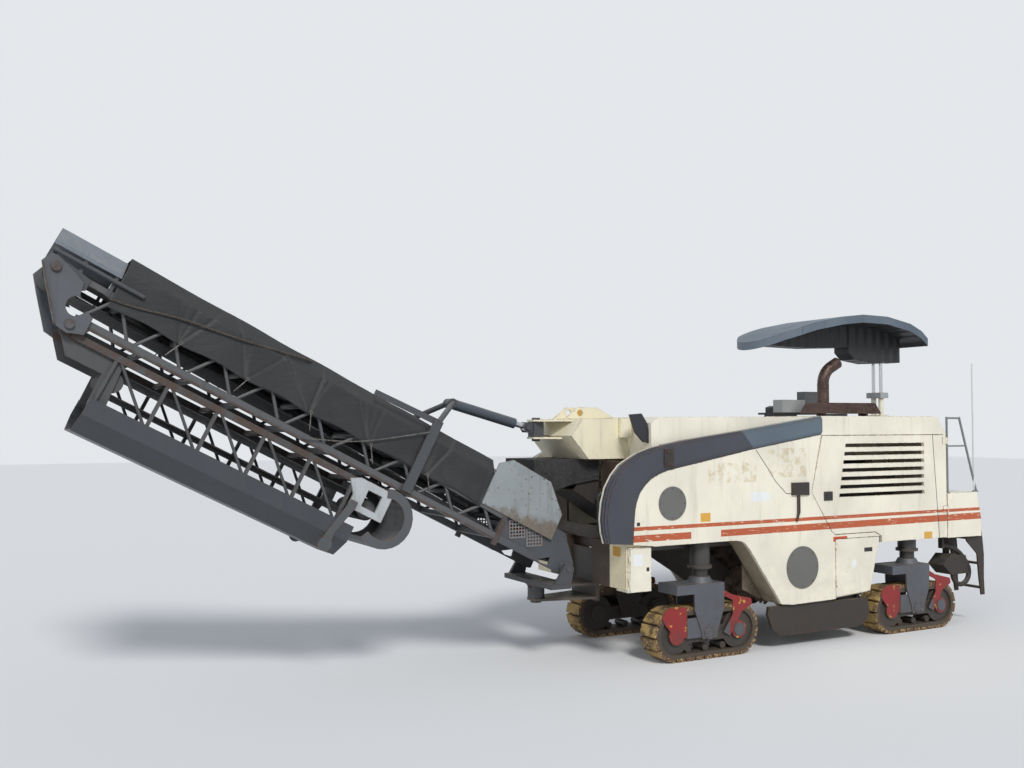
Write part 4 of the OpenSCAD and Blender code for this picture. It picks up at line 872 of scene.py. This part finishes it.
# the sheet's extent along and square to the conveyor, the hoops' and eyelets' places along it, and its
# section: half of the flat crown, the sides' distance from the middle plane and the shoulders' drop
sheet_from, sheet_to, sheet_low, sheet_top = 1.195, 5.125, 0.165, 0.655
first_hoop, last_hoop, hoop_pitch = 1.3, 4.9, 0.9
first_eyelet, eyelet_pitch = 1.192, 0.652
crown, side_w, shoulder_drop, widest = 0.30, 0.449, 0.1395, 0.4495
cloth_black, cloth_dust = (0.015, 0.0155, 0.017, 1), (0.062, 0.06, 0.056, 1)
# depths in metres: sinking and drawing in between hoops, creases, waves and the lower edge's scallops
sink, draw_in, crease_depth, side_wave, top_wave, scallop_rise = 0.014, 0.016, 0.007, 0.003, 0.004, 0.022
eyelet_places = first_eyelet + eyelet_pitch * np.arange(6)
rows, columns = 300, 140
u, s = np.meshgrid(np.linspace(sheet_from, sheet_to, rows), np.linspace(-1, 1, columns), indexing="ij")
# the section by the length t from the ridge: a flat crown, a sloping shoulder and an upright side, of
# which part_b and part_c say how much of the shoulder and of the side lies behind
length_a = crown
length_b = math.hypot(side_w - crown, shoulder_drop)
length_c = sheet_top - shoulder_drop - sheet_low
half_width = length_a + length_b + length_c
t = np.abs(s) * half_width
part_b = np.clip((t - length_a) / length_b, 0, 1)
part_c = np.clip((t - length_a - length_b) / length_c, 0, 1)
y = np.minimum(t, length_a) + part_b * (side_w - crown)
w = sheet_top - part_b * shoulder_drop - part_c * length_c
# between two hoops the crown sinks and the side draws in by one cosine wave, and at the free ends by
# a quarter of it
between = 0.5 - 0.5 * np.cos(2 * np.pi * (u - first_hoop) / hoop_pitch)
between *= np.where((u > first_hoop) & (u < last_hoop), 1.0, 0.25)
on_top = np.clip(1 - t / (length_a + length_b), 0, 1) ** 0.7
w = w - sink * between * on_top
y = y - draw_in * between * np.sin(np.pi * np.clip((t - 0.2) / (half_width - 0.2), 0, 1))
# five creases fan out from each eyelet on either side: each a bell curve across a leaning line, which
# gets wider and fades with height
rng = np.random.default_rng(7)
crease = np.zeros_like(u)
height = w - sheet_low
for side in (-1, 1):
    for foot in eyelet_places + 0.02:
        for lean in rng.uniform(-1.3, 1.3, 5):
            reach = rng.uniform(0.35, 0.8)
            line = u - foot - lean * height
            wide = 0.008 + 0.03 * height
            fall = np.exp(-(height / reach) ** 2) * (np.sign(s) == side)
            crease += rng.uniform(0.35, 1.0) * np.exp(-((line / wide) ** 2)) * fall
# broad waves, a sine along the sheet that is shifted across it, times a sine across it
wave = np.sin(u * 7.3 + 2.2 * np.sin(u * 2.1 + 3 * s)) * np.sin(t * 9.0 + u * 1.7)
y = y - crease_depth * crease + side_wave * wave
# the lower edge rises in a cosine wave from one eyelet to the next
scallop = 0.5 - 0.5 * np.cos(2 * np.pi * (u - first_eyelet) / eyelet_pitch)
w = w + scallop_rise * scallop * part_c ** 3 + top_wave * wave * on_top
y = np.clip(y, 0, widest) * np.sign(s)
cloth = new_piece("conveyor_cloth", on_boom(u, y, w), grid_faces(rows, columns), smooth=True)
cloth.data.attributes.new("crease", "FLOAT", "POINT").data.foreach_set("value", crease.ravel())
thick = cloth.modifiers.new("thickness", "SOLIDIFY")
thick.thickness = 0.003
thick.offset = 0.0
cloth_material, cloth_out = new_material("coated_cloth")
tree = cloth_material.node_tree
place = place_of(tree)
dusty = ramp_of(tree, noise_of(tree, place, 1.7, 7.0, 0.7), 0.45, 0.85, 0.0, 0.6)
fleck = ramp_of(tree, noise_of(tree, place, 60.0, 3.0), 0.62, 0.75, 0.0, 0.4)
folds = add(tree, "ShaderNodeAttribute", attribute_name="crease").outputs["Fac"]
rubbed = math_of(tree, "MULTIPLY", ramp_of(tree, folds, 0.25, 0.9), noise_of(tree, place, 6.0, 4.0))
dusty = math_of(tree, "MAXIMUM", dusty, rubbed)
tint = mix_of(tree, any_of(tree, dusty, fleck), cloth_black, cloth_dust)
wrinkle = math_of(tree, "ADD", noise_of(tree, stretched(tree, place, 2.0, 2.0, 7.0), 3.0, 5.0, 0.6),
                  math_of(tree, "MULTIPLY", noise_of(tree, place, 260.0, 2.0), 0.02))
bump = add(tree, "ShaderNodeBump", {"Height": wrinkle, "Strength": 0.2, "Distance": 0.02})
shader = add(tree, "ShaderNodeBsdfPrincipled", {"Base Color": tint, "Normal": bump.outputs[0],
                                               "Roughness": ramp_of(tree, dusty, 0.0, 1.0, 0.55, 0.8)})
tree.links.new(shader.outputs[0], cloth_out.inputs[0])
cloth.data.materials.append(cloth_material)
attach(cloth, "boom")
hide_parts("boom_tarp")


# What holds the cloth: a laid rope stretched along its side, and a steel eyelet with a short strap to
# the chord at each place where the lower edge is pulled down. A twisted wire stays the gantry.
def tube_along(points, radius, strands=1, lay=0.08, sides=6):
    """Tubes along a Catmull-Rom path through points: rings of radius about the path, or strands whose
    own middle lines turn round it once in each lay. Each end is closed by a fan of quads."""
    points = np.asarray(points, float)
    ends = np.vstack([2 * points[0] - points[1], points, 2 * points[-1] - points[-2]])
    reach = np.linalg.norm(np.diff(points, axis=0), axis=1).sum()
    step = lay / 8 if strands > 1 else 0.03
    steps = max(4, int(reach / step / (len(points) - 1)))
    t = np.linspace(0, 1, steps, endpoint=False)[:, None]
    path = [0.5 * (2 * b + (c - a) * t + (2 * a - 5 * b + 4 * c - d) * t ** 2
                   + (3 * b - a - 3 * c + d) * t ** 3)
            for a, b, c, d in zip(ends, ends[1:], ends[2:], ends[3:])]
    path = np.vstack(path + [points[-1:]])
    tangent = np.gradient(path, axis=0)
    tangent /= np.linalg.norm(tangent, axis=1, keepdims=True)
    out = np.cross(tangent, np.where(np.abs(tangent[:, 2:]) > 0.9, (1.0, 0, 0), (0, 0, 1.0)))
    out /= np.linalg.norm(out, axis=1, keepdims=True)
    up = np.cross(out, tangent)
    length = np.concatenate([[0], np.cumsum(np.linalg.norm(np.diff(path, axis=0), axis=1))])
    ring = 2 * np.pi * np.arange(sides) / sides
    fan = np.array([(0, i, i + 1, i + 2) for i in range(1, sides - 1, 2)])
    thin = radius if strands == 1 else radius / 2.15
    rings, faces = [], []
    for k in range(strands):
        turn = 2 * np.pi * (k / strands + length / lay)
        middle = path + (radius - thin) * (out * np.cos(turn)[:, None] + up * np.sin(turn)[:, None])
        circle = middle[:, None] + thin * (out[:, None] * np.cos(ring)[None, :, None]
                                           + up[:, None] * np.sin(ring)[None, :, None])
        first = k * len(path) * sides
        last = first + (len(path) - 1) * sides
        rings.append(circle.reshape(-1, 3))
        faces += [grid_faces(len(path), sides, closed=True) + first, fan[:, ::-1] + first, fan + last]
    return np.vstack(rings), np.vstack(faces)


def joined(name, tubes):
    """One smooth object from several pairs of points and faces."""
    starts = np.cumsum([0] + [len(points) for points, _ in tubes[:-1]])
    return new_piece(name, np.vstack([points for points, _ in tubes]),
                     np.vstack([faces + start for (_, faces), start in zip(tubes, starts)]), smooth=True)


def beside_cloth(u, w, off):
    """A point off the cloth's left side, which leans inwards above its shoulder."""
    lean = max(0.0, w - (sheet_top - shoulder_drop)) / shoulder_drop
    return on_boom(u, side_w - lean * (side_w - crown) + off, w)


# the rope's route, along the conveyor and square to it
rope_route = [(5.146, 0.232), (4.910, 0.275), (4.536, 0.377), (4.196, 0.434), (3.937, 0.482),
              (3.456, 0.600), (3.326, 0.625)]
rope_radius, rope_off = 0.011, 0.013
rope = joined("cover_rope", [tube_along([beside_cloth(u, w, rope_off) for u, w in rope_route], rope_radius,
                                        strands=3, lay=0.09)])
rope.data.materials.append(granular("rope_fibre", ((0.03, 0.025, 0.022), (0.085, 0.07, 0.055),
                                                  (0.14, 0.12, 0.095)), 60.0, 0.8, 0.002))
# how far each strap's foot on the chord lies ahead of its eyelet
strap_leans = (-0.105, -0.10, -0.065, 0.06, 0.07)
# the eyelets' radius and place across and over the belt, and the straps' heads and feet
eyelet_radius, eyelet_y, eyelet_w = 0.012, 0.4535, 0.188
head_y, head_w, foot_y, foot_w = 0.456, 0.18, 0.448, 0.03
eyelet_wire, strap_radius = 0.004, 0.006
straps = []
for place_u, lean in zip(eyelet_places[1:], strap_leans):
    for side in (-1, 1):
        turn = np.linspace(0, 2 * np.pi, 13)
        eyelet = on_boom(place_u + eyelet_radius * np.cos(turn), side * eyelet_y,
                         eyelet_w + eyelet_radius * np.sin(turn))
        straps.append(tube_along(eyelet, eyelet_wire))
        straps.append(tube_along([on_boom(place_u, side * head_y, head_w),
                                  on_boom(place_u + lean, side * foot_y, foot_w)], strap_radius))
strap = joined("cover_straps", straps)
strap.data.materials.append(granular("strap_steel", ((0.05, 0.045, 0.04), (0.16, 0.15, 0.14),
                                                    (0.30, 0.29, 0.27)), 30.0, 0.5, 0.001, 0.5))
# the wire's route: along the conveyor, across it and square to it
wire_route = [(3.124, 0.452, -0.06), (2.617, 0.470, 0.159), (2.02, 0.490, 0.555)]
wire = joined("gantry_wire", [tube_along([on_boom(*point) for point in wire_route], radius=0.008,
                                         strands=2, lay=0.06)])
wire.data.materials.append(strap.data.materials[0])
for piece, slot in ((rope, "cloth"), (strap, "steel_dark"), (wire, "steel_dark")):
    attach(piece, "boom")

low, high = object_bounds()
